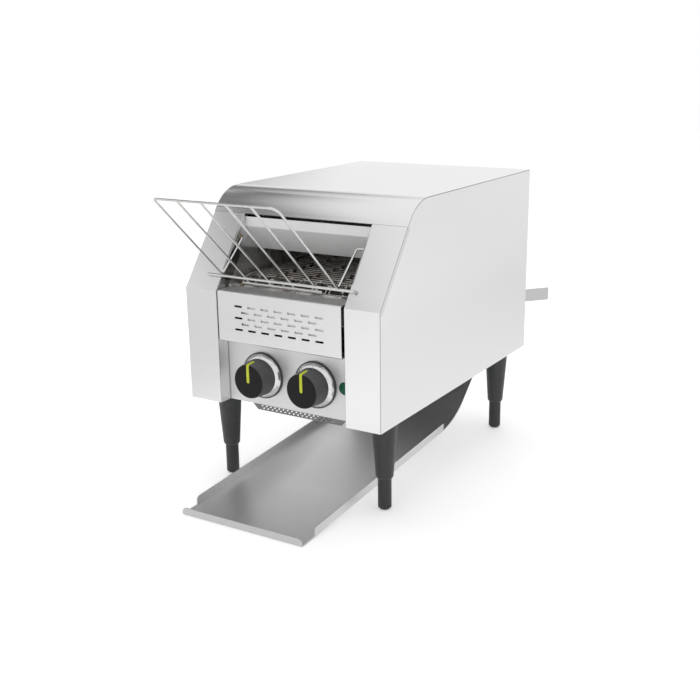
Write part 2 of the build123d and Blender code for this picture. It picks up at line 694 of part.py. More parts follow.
def leg(x, y):
    shoulder = CASE_BOTTOM - LEG_FLANGE
    profile = [
        (0, LEG_STEP_HEIGHT),
        (LEG_STEP_RADIUS - LEG_STEP_EDGE, LEG_STEP_HEIGHT),
        (LEG_STEP_RADIUS, LEG_STEP_HEIGHT + LEG_STEP_RISE),
        (LEG_TOP_RADIUS, shoulder),
        (LEG_FLANGE_RADIUS, shoulder),
        (LEG_FLANGE_RADIUS, CASE_BOTTOM),
        (0, CASE_BOTTOM),
    ]
    body = turned(profile, (x, y, 0), (0, 0, 1))
    stud_top = LEG_STEP_HEIGHT + FOOT_STUD_LENGTH + BLIND_END
    body -= rod_z((x, y), FOOT_STUD_RADIUS + RUNNING_GAP, LEG_STEP_HEIGHT, stud_top)
    return body - rod_z((x, y), BOLT_RADIUS, CASE_BOTTOM - BOLT_LENGTH, CASE_BOTTOM)


def foot(x, y):
    top = LEG_STEP_HEIGHT - FIT_GAP
    profile = [
        (0, 0),
        (FOOT_RADIUS - FOOT_CHAMFER, 0),
        (FOOT_RADIUS, FOOT_CHAMFER),
        (FOOT_RADIUS, top),
        (FOOT_STUD_RADIUS, top),
        (FOOT_STUD_RADIUS, top + FOOT_STUD_LENGTH),
        (0, top + FOOT_STUD_LENGTH),
    ]
    return turned(profile, (x, y, 0), (0, 0, 1))


def leg_bolts():
    bolts = []
    for x, y in leg_places():
        head = Plane.XY.offset(FLOOR_TOP) * Pos(x, y) * RegularPolygon(BOLT_HEAD_RADIUS, 6)
        foot_z = CASE_BOTTOM - BOLT_LENGTH + BLIND_END
        shank = rod_z((x, y), BOLT_RADIUS, foot_z, FLOOR_TOP)
        bolts.append(extrude(head, amount=BOLT_HEAD) + shank)
    return group(bolts)


# ---- knobs, dials, lamp and what is behind the panel --------------------------------
def knob_places():
    return (-KNOB_X, KNOB_X)


def knob(x):
    profile = [
        (0, KNOB_BACK),
        (KNOB_BASE_RADIUS, KNOB_BACK),
        (KNOB_BASE_RADIUS, KNOB_BACK - KNOB_RIM),
        (KNOB_FACE_RADIUS + KNOB_WAIST, KNOB_FRONT + KNOB_EDGE),
        (KNOB_FACE_RADIUS - KNOB_EDGE, KNOB_FRONT),
        (0, KNOB_FRONT),
    ]
    body = turned(profile, (x, 0, KNOB_HEIGHT), (0, 1, 0))
    bore = rod_y((x, KNOB_HEIGHT), SPINDLE_RADIUS, KNOB_BACK - SPINDLE_IN_KNOB, KNOB_BACK)
    return body - bore


def knob_pointer(x):
    """Coloured insert that runs up the face and back over the knob's shoulder."""
    low, top = KNOB_HEIGHT - POINTER_LOW, KNOB_HEIGHT + KNOB_FACE_RADIUS
    face, deep = KNOB_FRONT - POINTER_PROUD, KNOB_FRONT + POINTER_SINK
    end = KNOB_FRONT + POINTER_SIDE
    rise = (KNOB_BASE_RADIUS - KNOB_FACE_RADIUS) * POINTER_SIDE / KNOB_DEPTH
    proud = 2 * POINTER_PROUD
    outline = [
        (face, low),
        (face, top - POINTER_ROUND),
        (KNOB_FRONT + 2 * POINTER_ROUND, top + proud),
        (end, top + rise + proud),
        (end, top + rise - POINTER_SINK),
        (deep, top - POINTER_SINK),
        (deep, low),
    ]
    return plate(outline, *spread(x, POINTER_WIDTH)) - knob(x)


def knob_spindle(x):
    start = KNOB_BACK - SPINDLE_IN_KNOB
    return rod_y((x, KNOB_HEIGHT), SPINDLE_RADIUS, start, start + SPINDLE_LENGTH)


def dial(x):
    """Chrome ring behind the knob, which carries the scale."""
    ring = rod_y((x, KNOB_HEIGHT), DIAL_RADIUS, PANEL_Y - DIAL_THICKNESS, PANEL_Y)
    ring = chamfer(ring.edges().group_by(Axis.Y)[0], DIAL_CHAMFER)
    return ring - rod_y((x, KNOB_HEIGHT), SPINDLE_HOLE, PANEL_Y - DIAL_THICKNESS, PANEL_Y)


def dial_rims():
    """Dark rings round the two dials."""
    rims = []
    front = PANEL_Y - DIAL_RIM
    for x in knob_places():
        rim = rod_y((x, KNOB_HEIGHT), DIAL_RIM_RADIUS, front, PANEL_Y)
        rims.append(rim - rod_y((x, KNOB_HEIGHT), DIAL_RADIUS, front, PANEL_Y))
    return group(rims)


def control_body(x):
    """Rotary switch or speed regulator, screwed to the back of the panel."""
    front = PANEL_Y + SHEET
    depth = (front, front + CONTROL_BODY_DEPTH)
    body = block(spread(x, CONTROL_BODY), depth, spread(KNOB_HEIGHT, CONTROL_BODY))
    body = fillet(body.edges().filter_by(Axis.Y), CONTROL_CORNER)
    end = KNOB_BACK - SPINDLE_IN_KNOB + SPINDLE_LENGTH + BLIND_END
    return body - rod_y((x, KNOB_HEIGHT), SPINDLE_RADIUS + RUNNING_GAP, front, end)


def lamp_lens():
    """Green lens of the pilot lamp, domed, with its neck through the panel."""
    radius = (LAMP_RADIUS**2 + LAMP_DOME**2) / (2 * LAMP_DOME)
    ball = Pos(LAMP_X, PANEL_Y - LAMP_DOME + radius, LAMP_Z) * Sphere(radius)
    dome = ball & rod_y((LAMP_X, LAMP_Z), LAMP_RADIUS, PANEL_Y - LAMP_DOME, PANEL_Y)
    return dome + rod_y((LAMP_X, LAMP_Z), LAMP_NECK - SNAP_GAP, PANEL_Y, PANEL_Y + SHEET)


def lamp_body():
    front = PANEL_Y + SHEET
    return rod_y((LAMP_X, LAMP_Z), LAMP_RADIUS, front, front + LAMP_BODY_LENGTH)


# ---- toast tray ---------------------------------------------------------------------
def tray_path():
    """Upper face of the tray (y, z): the lip, the floor, the chute and its flange."""
    slope = math.tan(math.radians(TRAY_ANGLE))
    rise = math.tan(math.radians(CHUTE_ANGLE))
    top_y = DROP_Y - CHUTE_END
    floor_at_top = TRAY_SHEET + (top_y - TRAY_LIP_Y) * slope
    bend_y = top_y - (CHUTE_TOP - floor_at_top) / (rise - slope)
    return [
        (TRAY_LIP_Y, TRAY_LIP_HEIGHT),
        (TRAY_LIP_Y, TRAY_SHEET),
        (bend_y, TRAY_SHEET + (bend_y - TRAY_LIP_Y) * slope),
        (top_y, CHUTE_TOP),
        (top_y + CHUTE_FLANGE, CHUTE_TOP),
    ]


def toast_tray():
    """One sheet: lip, sloping floor with side flanges, and the chute behind."""
    path = tray_path()
    radii = [LIP_BEND, CHUTE_RADIUS, CHUTE_TOP_BEND]
    tray = bent_sheet(path, radii, -TRAY_SHEET, -TRAY_HALF, TRAY_HALF)
    lip_corners = [
        e
        for e in tray.edges().filter_by(Axis.Y)
        if abs((e @ 0).Z - TRAY_LIP_HEIGHT) < SAME_PLACE
    ]
    tray = fillet(lip_corners, LIP_CORNER)
    slope = math.radians(TRAY_ANGLE)
    reach = CHUTE_RADIUS * math.tan((math.radians(CHUTE_ANGLE) - slope) / 2)
    curve_y = path[2][0] - reach * math.cos(slope)
    ends = (TRAY_LIP_Y + FLANGE_SETBACK, curve_y + FLANGE_OVERRUN)
    under = [(y, (y - TRAY_LIP_Y) * math.tan(slope) + FLANGE_SINK) for y in ends]
    rise = FLANGE_HEIGHT + TRAY_SHEET
    outline = [
        under[0],
        under[1],
        (under[1][0], under[1][1] + rise),
        (under[0][0], under[0][1] + rise),
    ]
    side = plate(outline, TRAY_HALF - TRAY_SHEET, TRAY_HALF)
    front_corner = [e for e in side.edges().filter_by(Axis.X) if is_flange_corner(e, under[0])]
    side = fillet(front_corner, FLANGE_CORNER)
    return tray + side + mirrored(side)


def is_flange_corner(edge, foot_point):
    """True for the upper front corner of a side flange."""
    point = edge @ 0
    return abs(point.Y - foot_point[0]) < SAME_PLACE and point.Z > foot_point[1] + TRAY_SHEET


def chute_rest():
    """Ledge under the casing that the tray's rear flange lies on."""
    top = CHUTE_TOP - TRAY_SHEET - FIT_GAP
    back = tray_path()[-1][0] + REST_GAP
    path = [
        (back - REST_LEDGE, top),
        (back, top),
        (back, CASE_BOTTOM),
        (back + REST_FOOT, CASE_BOTTOM),
    ]
    half = TRAY_HALF - REST_INSET
    return bent_sheet(path, [REST_BEND] * 2, -SHEET, -half, half)


# ---- chamber ------------------------------------------------------------------------
def chamber_wall():
    """Right wall of the toasting chamber, which carries shafts, heaters and motor."""
    front = front_line(WALL_SETBACK)
    knee, seam = front[1], front[2]
    share = (WALL_TOP - knee[1]) / (seam[1] - knee[1])
    top_front = (knee[0] + share * (seam[0] - knee[0]), WALL_TOP)
    step = PANEL_TOP + FIT_GAP
    outline = [
        (PANEL_Y + SHEET, FLOOR_TOP),
        (PANEL_Y + SHEET, step),
        (front[0][0], step),
        knee,
        top_front,
        (WALL_REAR, WALL_TOP),
        (WALL_REAR, FLOOR_TOP),
    ]
    wall = plate(outline, FLANGE_OUT, WALL_OUT)
    holes = [rod_x(c, BUSH_RADIUS, 0, HALF_WIDTH) for c in (FRONT_SHAFT, REAR_SHAFT)]
    holes += [rod_x(c, TUBE_RADIUS + TUBE_GAP, 0, HALF_WIDTH) for c in tube_centers()]
    holes.append(rod_x(rack_pivot(), rack_hole_radius(), 0, HALF_WIDTH))
    return wall - holes


def drive_side_wall():
    hole = MOTOR_SHAFT_RADIUS + WALL_CLEARANCE
    return chamber_wall() - rod_x(MOTOR_SHAFT, hole, 0, HALF_WIDTH)


def chamber_roof():
    half = FLANGE_OUT - FIT_GAP
    upper = tube_rows()[0]
    front, rear = upper[0] - ROOF_FRONT_MARGIN, upper[-1] + ROOF_REAR_MARGIN
    eaves = ROOF_Z - ROOF_DROP
    path = [
        (front - ROOF_FRONT_LEAN, eaves),
        (front, ROOF_Z),
        (rear, ROOF_Z),
        (rear + ROOF_REAR_LEAN, eaves),
    ]
    return bent_sheet(path, [2 * BEND, 2 * BEND], SHEET, -half, half)


def crumb_shelf():
    half = FLANGE_OUT - FIT_GAP
    front = FRONT_SHAFT[0] - SHELF_FRONT
    path = [
        (front - SHELF_LIP_LEAN, SHELF_Z + SHELF_LIP),
        (front, SHELF_Z),
        (BULKHEAD_Y + SHEET, SHELF_Z),
    ]
    return bent_sheet(path, [SHELF_BEND], -SHEET, -half, half)


def rear_bulkhead():
    """Wall between the electrical space and the toast's way out."""
    half = FLANGE_OUT - FIT_GAP
    path = [
        (BULKHEAD_Y - BULKHEAD_FOOT, FLOOR_TOP),
        (BULKHEAD_Y, FLOOR_TOP),
        (BULKHEAD_Y, SHELF_Z - SHEET),
    ]
    return bent_sheet(path, [BEND + SHEET], SHEET, -half, half)


def drop_guide():
    """Curved plate that turns the falling toast on to the chute."""
    half = FLANGE_OUT - FIT_GAP
    top = ROOF_Z - GUIDE_TOP_DROP
    path = [
        (DROP_Y - GUIDE_FOOT_IN, FLOOR_TOP + GUIDE_FOOT_GAP),
        (DROP_Y, CASE_BOTTOM + GUIDE_BEND_RISE),
        (DROP_Y, top),
        (DROP_Y - GUIDE_LIP_Y, top + GUIDE_LIP_Z),
    ]
    return bent_sheet(path, [GUIDE_BEND, 2 * BEND], -GUIDE_SHEET, -half, half)


def tube_rows():
    """Depths of the upper heaters and of the lower ones, which fit between the wheels."""
    pitch = (BELT_RUN - 2 * TUBE_TO_SHAFT) / (TUBE_COUNT - 1)
    lower = row(TUBE_COUNT, pitch, FRONT_SHAFT[0] + BELT_RUN / 2)
    return [y + TUBE_SHIFT for y in lower], lower


def tube_centers():
    upper, lower = tube_rows()
    return [(y, UPPER_TUBE_Z) for y in upper] + [(y, SHAFT_Z) for y in lower]


def heater_tubes(centers):
    half = TUBE_HALF_LENGTH
    tubes = []
    for center in centers:
        bore = rod_x(center, TUBE_BORE, -half, half)
        tubes.append(rod_x(center, TUBE_RADIUS, -half, half) - bore)
    return group(tubes)


def heater_coils():
    half = TUBE_HALF_LENGTH - COIL_INSET
    return group([rod_x(c, COIL_RADIUS, -half, half) for c in tube_centers()])


def heater_caps():
    """Ceramic sockets on both walls, each with the contact pin of its tube."""
    caps = []
    for center in tube_centers():
        cap = rod_x(center, CAP_RADIUS, WALL_OUT, WALL_OUT + CAP_LENGTH)
        cap -= rod_x(center, TUBE_RADIUS + CAP_GAP, WALL_OUT, TUBE_HALF_LENGTH)
        cap += rod_x(center, COIL_RADIUS, TUBE_HALF_LENGTH - COIL_INSET, TUBE_HALF_LENGTH)
        caps += [cap, mirrored(cap)]
    return group(caps)


# ---- belt and shafts ----------------------------------------------------------------
def loop_links(start, end, pitch, teeth, span):
    """Corner points of a closed chain round two equal wheels, each with its direction.

    Every entry is (point, outward) in (y, z): the point where one link starts, and the
    unit vector out of the loop, square to that link.
    """
    radius = pitch / (2 * math.sin(math.pi / teeth))
    along = ((end[0] - start[0]) / (span * pitch), (end[1] - start[1]) / (span * pitch))
    out = (-along[1], along[0])
    points = []
    for center, sign in ((start, 1), (end, -1)):
        for i in range(span):
            points.append(tuple(
                center[k] + sign * (radius * out[k] + i * pitch * along[k]) for k in (0, 1)
            ))
        far = end if sign > 0 else start
        for i in range(teeth // 2):
            turn = -2 * math.pi * i / teeth
            spoke = (
                sign * (out[0] * math.cos(turn) - out[1] * math.sin(turn)),
                sign * (out[0] * math.sin(turn) + out[1] * math.cos(turn)),
            )
            points.append((far[0] + radius * spoke[0], far[1] + radius * spoke[1]))
    links = []
    for i, point in enumerate(points):
        following = points[(i + 1) % len(points)]
        links.append((point, left_normal(point, following)))
    return links


def link_plane(point, outward, x=0.0):
    """Frame of one link: X across the toaster, Y along the link, Z out of the loop."""
    return Plane(origin=(x, *point), x_dir=(1, 0, 0), z_dir=(0, *outward))


def belt_strand(inner_count):
    """One cross wire with the arms that reach forward to the next wire."""
    half, reach = WIRE / 2, BELT_PITCH - ARM_GAP
    inner = row(inner_count, 2 * LINK_STEP)
    arms = [half - BELT_HALF, *inner, BELT_HALF - half]
    outline = [(-BELT_HALF, -half), (BELT_HALF, -half)]
    for x in reversed(arms):
        outline += [(x + half, half), (x + half, reach), (x - half, reach), (x - half, half)]
    outline = [p for p in outline if p[0] not in (BELT_HALF, -BELT_HALF) or p[1] != half]
    return plate(outline, -half, half, Plane.XY)


def wire_belt():
    strands = [belt_strand(inner_count) for inner_count in (2, 1)]
    links = loop_links(FRONT_SHAFT, REAR_SHAFT, BELT_PITCH, BELT_TEETH, BELT_RUN_COUNT)
    placed = []
    for i, (point, outward) in enumerate(links):
        placed.append(link_plane(point, outward).location * strands[i % 2])
    return group(placed)


def toothed_wheel(center, pitch_radius, teeth, tooth, low, high):
    """Sprocket whose gaps face the corners of its chain; teeth stand between them.

    tooth is the outline of one tooth: (radius, distance along the pitch circle).
    """
    outline = []
    step = math.tau / teeth
    for i in range(teeth):
        middle = step * i + step / 2
        for radius, along in tooth:
            angle = middle + along / pitch_radius
            y, z = radius * math.cos(angle), radius * math.sin(angle)
            outline.append((center[0] + y, center[1] + z))
    return plate(outline, low, high)


def tooth_shape(root, tip, root_half, tip_half):
    return ((root, -root_half), (tip, -tip_half), (tip, tip_half), (root, root_half))


def belt_sprockets(center):
    root = BELT_RADIUS - 1.25 * WIRE / 2 - SEAT_GAP
    tooth = tooth_shape(root, BELT_RADIUS + TOOTH_TIP, TOOTH_ROOT_HALF, TOOTH_TIP_HALF)
    wheels = []
    for x in row(SPROCKET_COUNT, LINK_STEP):
        ends = spread(x, SPROCKET_THICKNESS)
        wheel = toothed_wheel(center, BELT_RADIUS, BELT_TEETH, tooth, *ends)
        wheels.append(wheel - rod_x(center, SHAFT_RADIUS + PRESSED_GAP, *ends))
    return group(wheels)


def belt_shaft(center, right_end):
    """Shaft with a thicker middle, so that its journals locate it between the walls."""
    shoulder = OPENING_HALF - SHOULDER_GAP
    middle = rod_x(center, SHAFT_RADIUS, -shoulder, shoulder)
    return middle + rod_x(center, JOURNAL_RADIUS, -WALL_OUT - SHAFT_END, right_end)


def shaft_bushes():
    """Flanged bushes of both shafts in both chamber walls."""
    inner, outer = FLANGE_OUT - BUSH_INSIDE, WALL_OUT + BUSH_FLANGE
    bushes = []
    for center in (FRONT_SHAFT, REAR_SHAFT):
        bush = rod_x(center, BUSH_RADIUS, inner, outer)
        bush += rod_x(center, BUSH_FLANGE_RADIUS, WALL_OUT, outer)
        bush -= rod_x(center, JOURNAL_RADIUS + RUNNING_GAP, inner, outer)
        bushes += [bush, mirrored(bush)]
    return group(bushes)


# ---- drive --------------------------------------------------------------------------
def chain_sprocket(center, shaft_radius):
    low, high = spread(CHAIN_X, CHAIN_SPROCKET_THICKNESS)
    root = CHAIN_RADIUS - ROLLER_RADIUS - CHAIN_SEAT_GAP
    tip = CHAIN_RADIUS + CHAIN_TOOTH_TIP
    tooth = tooth_shape(root, tip, CHAIN_TOOTH_ROOT_HALF, CHAIN_TOOTH_TIP_HALF)
    wheel = toothed_wheel(center, CHAIN_RADIUS, CHAIN_TEETH, tooth, low, high)
    wheel += rod_x(center, HUB_RADIUS, CHAIN_X, high + HUB_LENGTH)
    return wheel - rod_x(center, shaft_radius + PRESSED_GAP, low, high + HUB_LENGTH)


def chain_plate(low):
    """Side plate of a chain link, in the frame of its link."""
    along = (-PLATE_END, CHAIN_PITCH + PLATE_END)
    return block((low, low + PLATE_THICKNESS), along, spread(0, PLATE_HEIGHT))


def inner_link():
    half = ROLLER_WIDTH / 2
    link = chain_plate(half) + chain_plate(-half - PLATE_THICKNESS)
    for y in (0, CHAIN_PITCH):
        end = Plane(origin=(-half, y, 0), x_dir=(0, 1, 0), z_dir=(1, 0, 0))
        link += extrude(end * RegularPolygon(ROLLER_RADIUS, 6), amount=ROLLER_WIDTH)
    return link


def drive_chain():
    """Roller chain: links with rollers, and pairs of outer plates between them."""
    links = loop_links(FRONT_SHAFT, MOTOR_SHAFT, CHAIN_PITCH, CHAIN_TEETH, CHAIN_RUN_COUNT)
    inner = inner_link()
    outside = ROLLER_WIDTH / 2 + PLATE_THICKNESS
    outer = [chain_plate(outside), chain_plate(-outside - PLATE_THICKNESS)]
    placed = []
    for i, (point, outward) in enumerate(links):
        location = link_plane(point, outward, CHAIN_X).location
        for piece in [inner] if i % 2 == 0 else outer:
            placed.append(location * piece)
    return group(placed)


def gear_motor():
    """Gearbox against the chamber wall, with the motor can on its inner end."""
    y, z = MOTOR_SHAFT
    low = FLANGE_OUT - GEARBOX_DEPTH
    box = block((low, FLANGE_OUT), spread(y, GEARBOX_WIDTH), spread(z, GEARBOX_HEIGHT))
    box = fillet(box.edges().filter_by(Axis.X), GEARBOX_CORNER)
    box += rod_x((y, z - MOTOR_DROP), MOTOR_RADIUS, low - MOTOR_LENGTH, low)
    bore = MOTOR_SHAFT_RADIUS + RUNNING_GAP
    return box - rod_x(MOTOR_SHAFT, bore, low + GEARBOX_SOCKET, FLANGE_OUT)


def motor_shaft():
    start = FLANGE_OUT - GEARBOX_DEPTH + GEARBOX_SOCKET + BLIND_END
    return rod_x(MOTOR_SHAFT, MOTOR_SHAFT_RADIUS, start, DRIVE_END)


# ---- feed rack ----------------------------------------------------------------------
def rack_hole_radius():
    return RACK_WIRE_RADIUS + RACK_BUSH_WALL


def rack_pivot():
    return up_slope(RACK_PIVOT_UP, RACK_PIVOT_DEPTH)


def rod_resting_place():
    """Center (y, z) of the cross rod, which rests on the sloping columns."""
    return up_slope(RACK_ROD_UP, -RACK_ROD_RADIUS - RACK_ROD_GAP)


def rack_top():
    """Upper front edge (y, z) of the rack."""
    rest = rod_resting_place()
    return (rest[0] - RACK_REACH, rest[1] + RACK_VEE_RISE + RACK_RISE)


def wire(points, radii, radius):
    """A round wire bent along a path."""
    path = FilletPolyline(*points, radius=radii)
    start = Plane(origin=path @ 0, z_dir=path % 0)
    return sweep(start * Circle(radius), path=path)


def feed_rack():
    """Welded wire rack: a bail with V-bent arms, slanting wires and cross rods."""
    rest, pivot, top = rod_resting_place(), rack_pivot(), rack_top()
    vee = (rest[0], rest[1] + RACK_VEE_RISE)
    pin_end = WALL_OUT + RACK_PIN_END
    bail_points = [
        (-pin_end, *pivot),
        (RACK_LEFT, *pivot),
        (RACK_LEFT, *vee),
        (RACK_LEFT, *top),
        (RACK_RIGHT, *top),
        (RACK_RIGHT, *vee),
        (RACK_RIGHT, *pivot),
        (pin_end, *pivot),
    ]
    rack = wire(bail_points, RACK_BENDS, RACK_WIRE_RADIUS)
    low = (vee[0] + RACK_LOW_IN, vee[1] - RACK_LOW_DOWN)
    crossing = (vee[0] + RACK_CROSSING, vee[1] + RACK_CROSSING)
    pitch = (RACK_RIGHT - RACK_LEFT) / (RACK_WIRE_COUNT - 1)
    inner = row(RACK_WIRE_COUNT - 2, pitch, (RACK_LEFT + RACK_RIGHT) / 2)
    for x in inner:
        path = [(x, *top), (x, *crossing), (x, *low)]
        rack += wire(path, [RACK_INNER_BEND], RACK_WIRE_RADIUS)
    low_rod = (low[0] - RACK_LOW_WELD, low[1] - RACK_LOW_WELD)
    ends = (inner[0] - RACK_LOW_OVERHANG, inner[-1] + RACK_LOW_OVERHANG)
    rack += rod_x(low_rod, RACK_WIRE_RADIUS, *ends)
    rod_ends = (-OPENING_HALF - RACK_ROD_LEFT, OPENING_HALF + RACK_ROD_RIGHT)
    return rack + rod_x(rest, RACK_ROD_RADIUS, *rod_ends)


def rack_bushes():
    """Bushes in both chamber walls that the rack's arms turn in."""
    center = rack_pivot()
    outer = WALL_OUT + BUSH_FLANGE
    bush = rod_x(center, rack_hole_radius(), OPENING_HALF, outer)
    bush += rod_x(center, rack_hole_radius() + RACK_BUSH_FLANGE, WALL_OUT, outer)
    bush -= rod_x(center, RACK_WIRE_RADIUS + RUNNING_GAP, 0, HALF_WIDTH)
    return group([bush, mirrored(bush)])


# ---- back ---------------------------------------------------------------------------
def wall_spacers():
    """Bent strips that keep both rear corners off the wall."""
    path = [
        (HALF_WIDTH - SPACER_FOOT_IN, REAR),
        (HALF_WIDTH - SPACER_BEND_IN, REAR),
        (HALF_WIDTH + SPACER_TIP_OUT, REAR + SPACER_REACH),
    ]
    top = CASE_BOTTOM + SPACER_RISE
    strip = bent_sheet(path, [SPACER_BEND], SPACER_SHEET, top - SPACER_HEIGHT, top, Plane.XY)
    return group([strip, mirrored(strip)])


def gland_place():
    """Center (x, z) of the cable gland in the back panel."""
    return (GLAND_IN - HALF_WIDTH, CASE_BOTTOM + GLAND_RISE)


def cable_gland():
    """Gland for the supply cable."""
    x, z = gland_place()
    inner, step, end = REAR - SHEET - GLAND_INSIDE, REAR + GLAND_FLANGE_DEPTH, REAR + GLAND_LENGTH
    neck, flange = GLAND_RADIUS - SNAP_GAP, GLAND_RADIUS + GLAND_FLANGE
    profile = [
        (GLAND_BORE, inner),
        (neck, inner),
        (neck, REAR),
        (flange, REAR),
        (flange, step),
        (GLAND_RADIUS, step + GLAND_TAPER),
        (GLAND_RADIUS - GLAND_TAPER, end),
        (GLAND_BORE, end),
    ]
    return turned(profile, (x, 0, z), (0, 1, 0))


def terminal_block():
    """Porcelain block on the casing's floor, in front of the bulkhead."""
    top, rear = FLOOR_TOP + BLOCK_HEIGHT, BULKHEAD_Y - BULKHEAD_FOOT - BLOCK_GAP
    left, middle = -BLOCK_LEFT, rear - BLOCK_WIDTH / 2
    body = block((left, left + BLOCK_LENGTH), (rear - BLOCK_WIDTH, rear), (FLOOR_TOP, top))
    for i in range(BLOCK_HOLE_COUNT):
        center = (left + BLOCK_HOLE_FIRST + i * BLOCK_HOLE_PITCH, middle)
        body -= rod_z(center, BLOCK_HOLE_RADIUS, FLOOR_TOP + BLOCK_HOLE_FLOOR, top)
    return body


def back_screws():
    profile = [(0, REAR)] + [(radius, REAR + proud) for radius, proud in SCREW_PROFILE]
    low, high = CASE_BOTTOM + SCREW_UP, CASE_TOP - SCREW_DOWN
    screws = []
    for x in spread(0, 2 * (HALF_WIDTH - SCREW_IN)):
        for z in (low, (low + high) / 2, high):
            screws.append(turned(profile, (x, 0, z), (0, 1, 0)))
    return group(screws)


# ---- all pieces ---------------------------------------------------------------------
def pieces():
    right_panel = side_panel()
    parts = {
        "top_cover": top_cover(),
        "side_panel_right": right_panel,
        "side_panel_left": mirrored(right_panel),
        "back_panel": back_panel(),
        "base_plate": base_plate(),
        "vent_panel": vent_panel(),
        "control_panel": control_panel(),
        "heat_guard": heat_guard(),
        "chamber_wall_right": drive_side_wall(),
        "chamber_wall_left": mirrored(chamber_wall()),
        "chamber_roof": chamber_roof(),
        "crumb_shelf": crumb_shelf(),
        "rear_bulkhead": rear_bulkhead(),
        "drop_guide": drop_guide(),
        "heater_coils": heater_coils(),
        "heater_caps": heater_caps(),
        "heater_tubes_upper": heater_tubes(tube_centers()[:TUBE_COUNT]),
        "heater_tubes_lower": heater_tubes(tube_centers()[TUBE_COUNT:]),
        "wire_belt": wire_belt(),
        "front_shaft": belt_shaft(FRONT_SHAFT, DRIVE_END),
        "rear_shaft": belt_shaft(REAR_SHAFT, WALL_OUT + SHAFT_END),
        "front_sprockets": belt_sprockets(FRONT_SHAFT),
        "rear_sprockets": belt_sprockets(REAR_SHAFT),
        "drive_sprocket": chain_sprocket(FRONT_SHAFT, JOURNAL_RADIUS),
        "motor_sprocket": chain_sprocket(MOTOR_SHAFT, MOTOR_SHAFT_RADIUS),
        "drive_chain": drive_chain(),
        "gear_motor": gear_motor(),
        "motor_shaft": motor_shaft(),
        "toast_tray": toast_tray(),
        "chute_rest": chute_rest(),
        "feed_rack": feed_rack(),
        "rack_bushes": rack_bushes(),
        "shaft_bushes": shaft_bushes(),
        "pilot_lamp_lens": lamp_lens(),
        "pilot_lamp_body": lamp_body(),
        "leg_bolts": leg_bolts(),
        "wall_spacers": wall_spacers(),
        "dial_rims": dial_rims(),
        "cable_gland": cable_gland(),
        "terminal_block": terminal_block(),
        "back_screws": back_screws(),
    }
    for side, x in zip(("left", "right"), knob_places()):
        parts[f"knob_{side}"] = knob(x)
        parts[f"knob_pointer_{side}"] = knob_pointer(x)
        parts[f"knob_spindle_{side}"] = knob_spindle(x)
        parts[f"dial_{side}"] = dial(x)
    parts["mode_switch"] = control_body(knob_places()[0])
    parts["speed_regulator"] = control_body(knob_places()[1])
    corners = ("front_left", "front_right", "rear_left", "rear_right")
    for corner, (x, y) in zip(corners, leg_places()):
        parts[f"leg_{corner}"] = leg(x, y)
        parts[f"foot_{corner}"] = foot(x, y)
    return parts


os.makedirs("parts", exist_ok=True)
footprint_middle = round((rack_top()[0] + REAR + SPACER_REACH) / 2, 1)
for name, shape in pieces().items():
    export_step(Pos(0, -footprint_middle, 0) * shape, f"parts/{name}.step")
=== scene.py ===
# %% [markdown]
# # A countertop conveyor toaster, dressed for the studio
#
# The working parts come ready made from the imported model: folded sheets, shafts, tray,
# rack and legs, each as its own object in metres. This lesson gives every one of them
# the surface of its real material, adds the fine pieces that are easier to make as
# meshes, and builds a plain white studio round them.

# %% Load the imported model
import math

import bpy
import numpy as np
from mathutils import Matrix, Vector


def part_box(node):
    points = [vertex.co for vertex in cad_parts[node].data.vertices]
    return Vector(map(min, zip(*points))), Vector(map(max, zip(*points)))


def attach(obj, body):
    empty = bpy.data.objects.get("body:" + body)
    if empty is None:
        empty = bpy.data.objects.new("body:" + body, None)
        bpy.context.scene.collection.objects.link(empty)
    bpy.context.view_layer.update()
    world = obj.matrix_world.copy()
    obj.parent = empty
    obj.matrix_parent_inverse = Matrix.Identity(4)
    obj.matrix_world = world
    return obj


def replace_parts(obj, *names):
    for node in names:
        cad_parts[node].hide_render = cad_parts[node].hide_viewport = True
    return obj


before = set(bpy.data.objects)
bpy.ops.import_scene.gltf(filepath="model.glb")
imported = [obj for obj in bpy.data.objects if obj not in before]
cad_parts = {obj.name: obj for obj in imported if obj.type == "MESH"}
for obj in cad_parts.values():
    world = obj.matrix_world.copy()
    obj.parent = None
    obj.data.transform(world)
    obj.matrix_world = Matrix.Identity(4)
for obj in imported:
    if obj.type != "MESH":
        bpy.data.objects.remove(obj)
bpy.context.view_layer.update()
scene = bpy.context.scene
print("packed pieces:", len(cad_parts))

# %% [markdown]
# ## Where things are
#
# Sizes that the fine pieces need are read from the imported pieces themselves, so a piece
# always sits on what carries it. A box has a lowest and a highest corner.


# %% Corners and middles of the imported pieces
def corners(node):
    """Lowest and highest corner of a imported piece, as two arrays of x, y, z."""
    low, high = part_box(node)
    return np.array(low), np.array(high)


def middle(node):
    """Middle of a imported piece's box: half the sum of its two corners."""
    low, high = corners(node)
    return (low + high) / 2


casing_low, casing_high = corners("side_panel_right")
front_y = float(casing_low[1])
print("casing front and back:", round(front_y, 4), round(float(casing_high[1]), 4))

# %% [markdown]
# ## Camera
#
# A view from the front right, a little above the appliance. The camera's own axes are
# built from three turns: round the upright, up from the table, and a slight roll. A
# constraint could aim it at the toaster, but it would not keep the roll.

# %% Place the camera
CAMERA_PLACE = (0.71586, -1.19428, 0.55743)
CAMERA_AZIMUTH = 31.698
CAMERA_ELEVATION = 16.186
CAMERA_ROLL = -0.78
LENS = 53.08


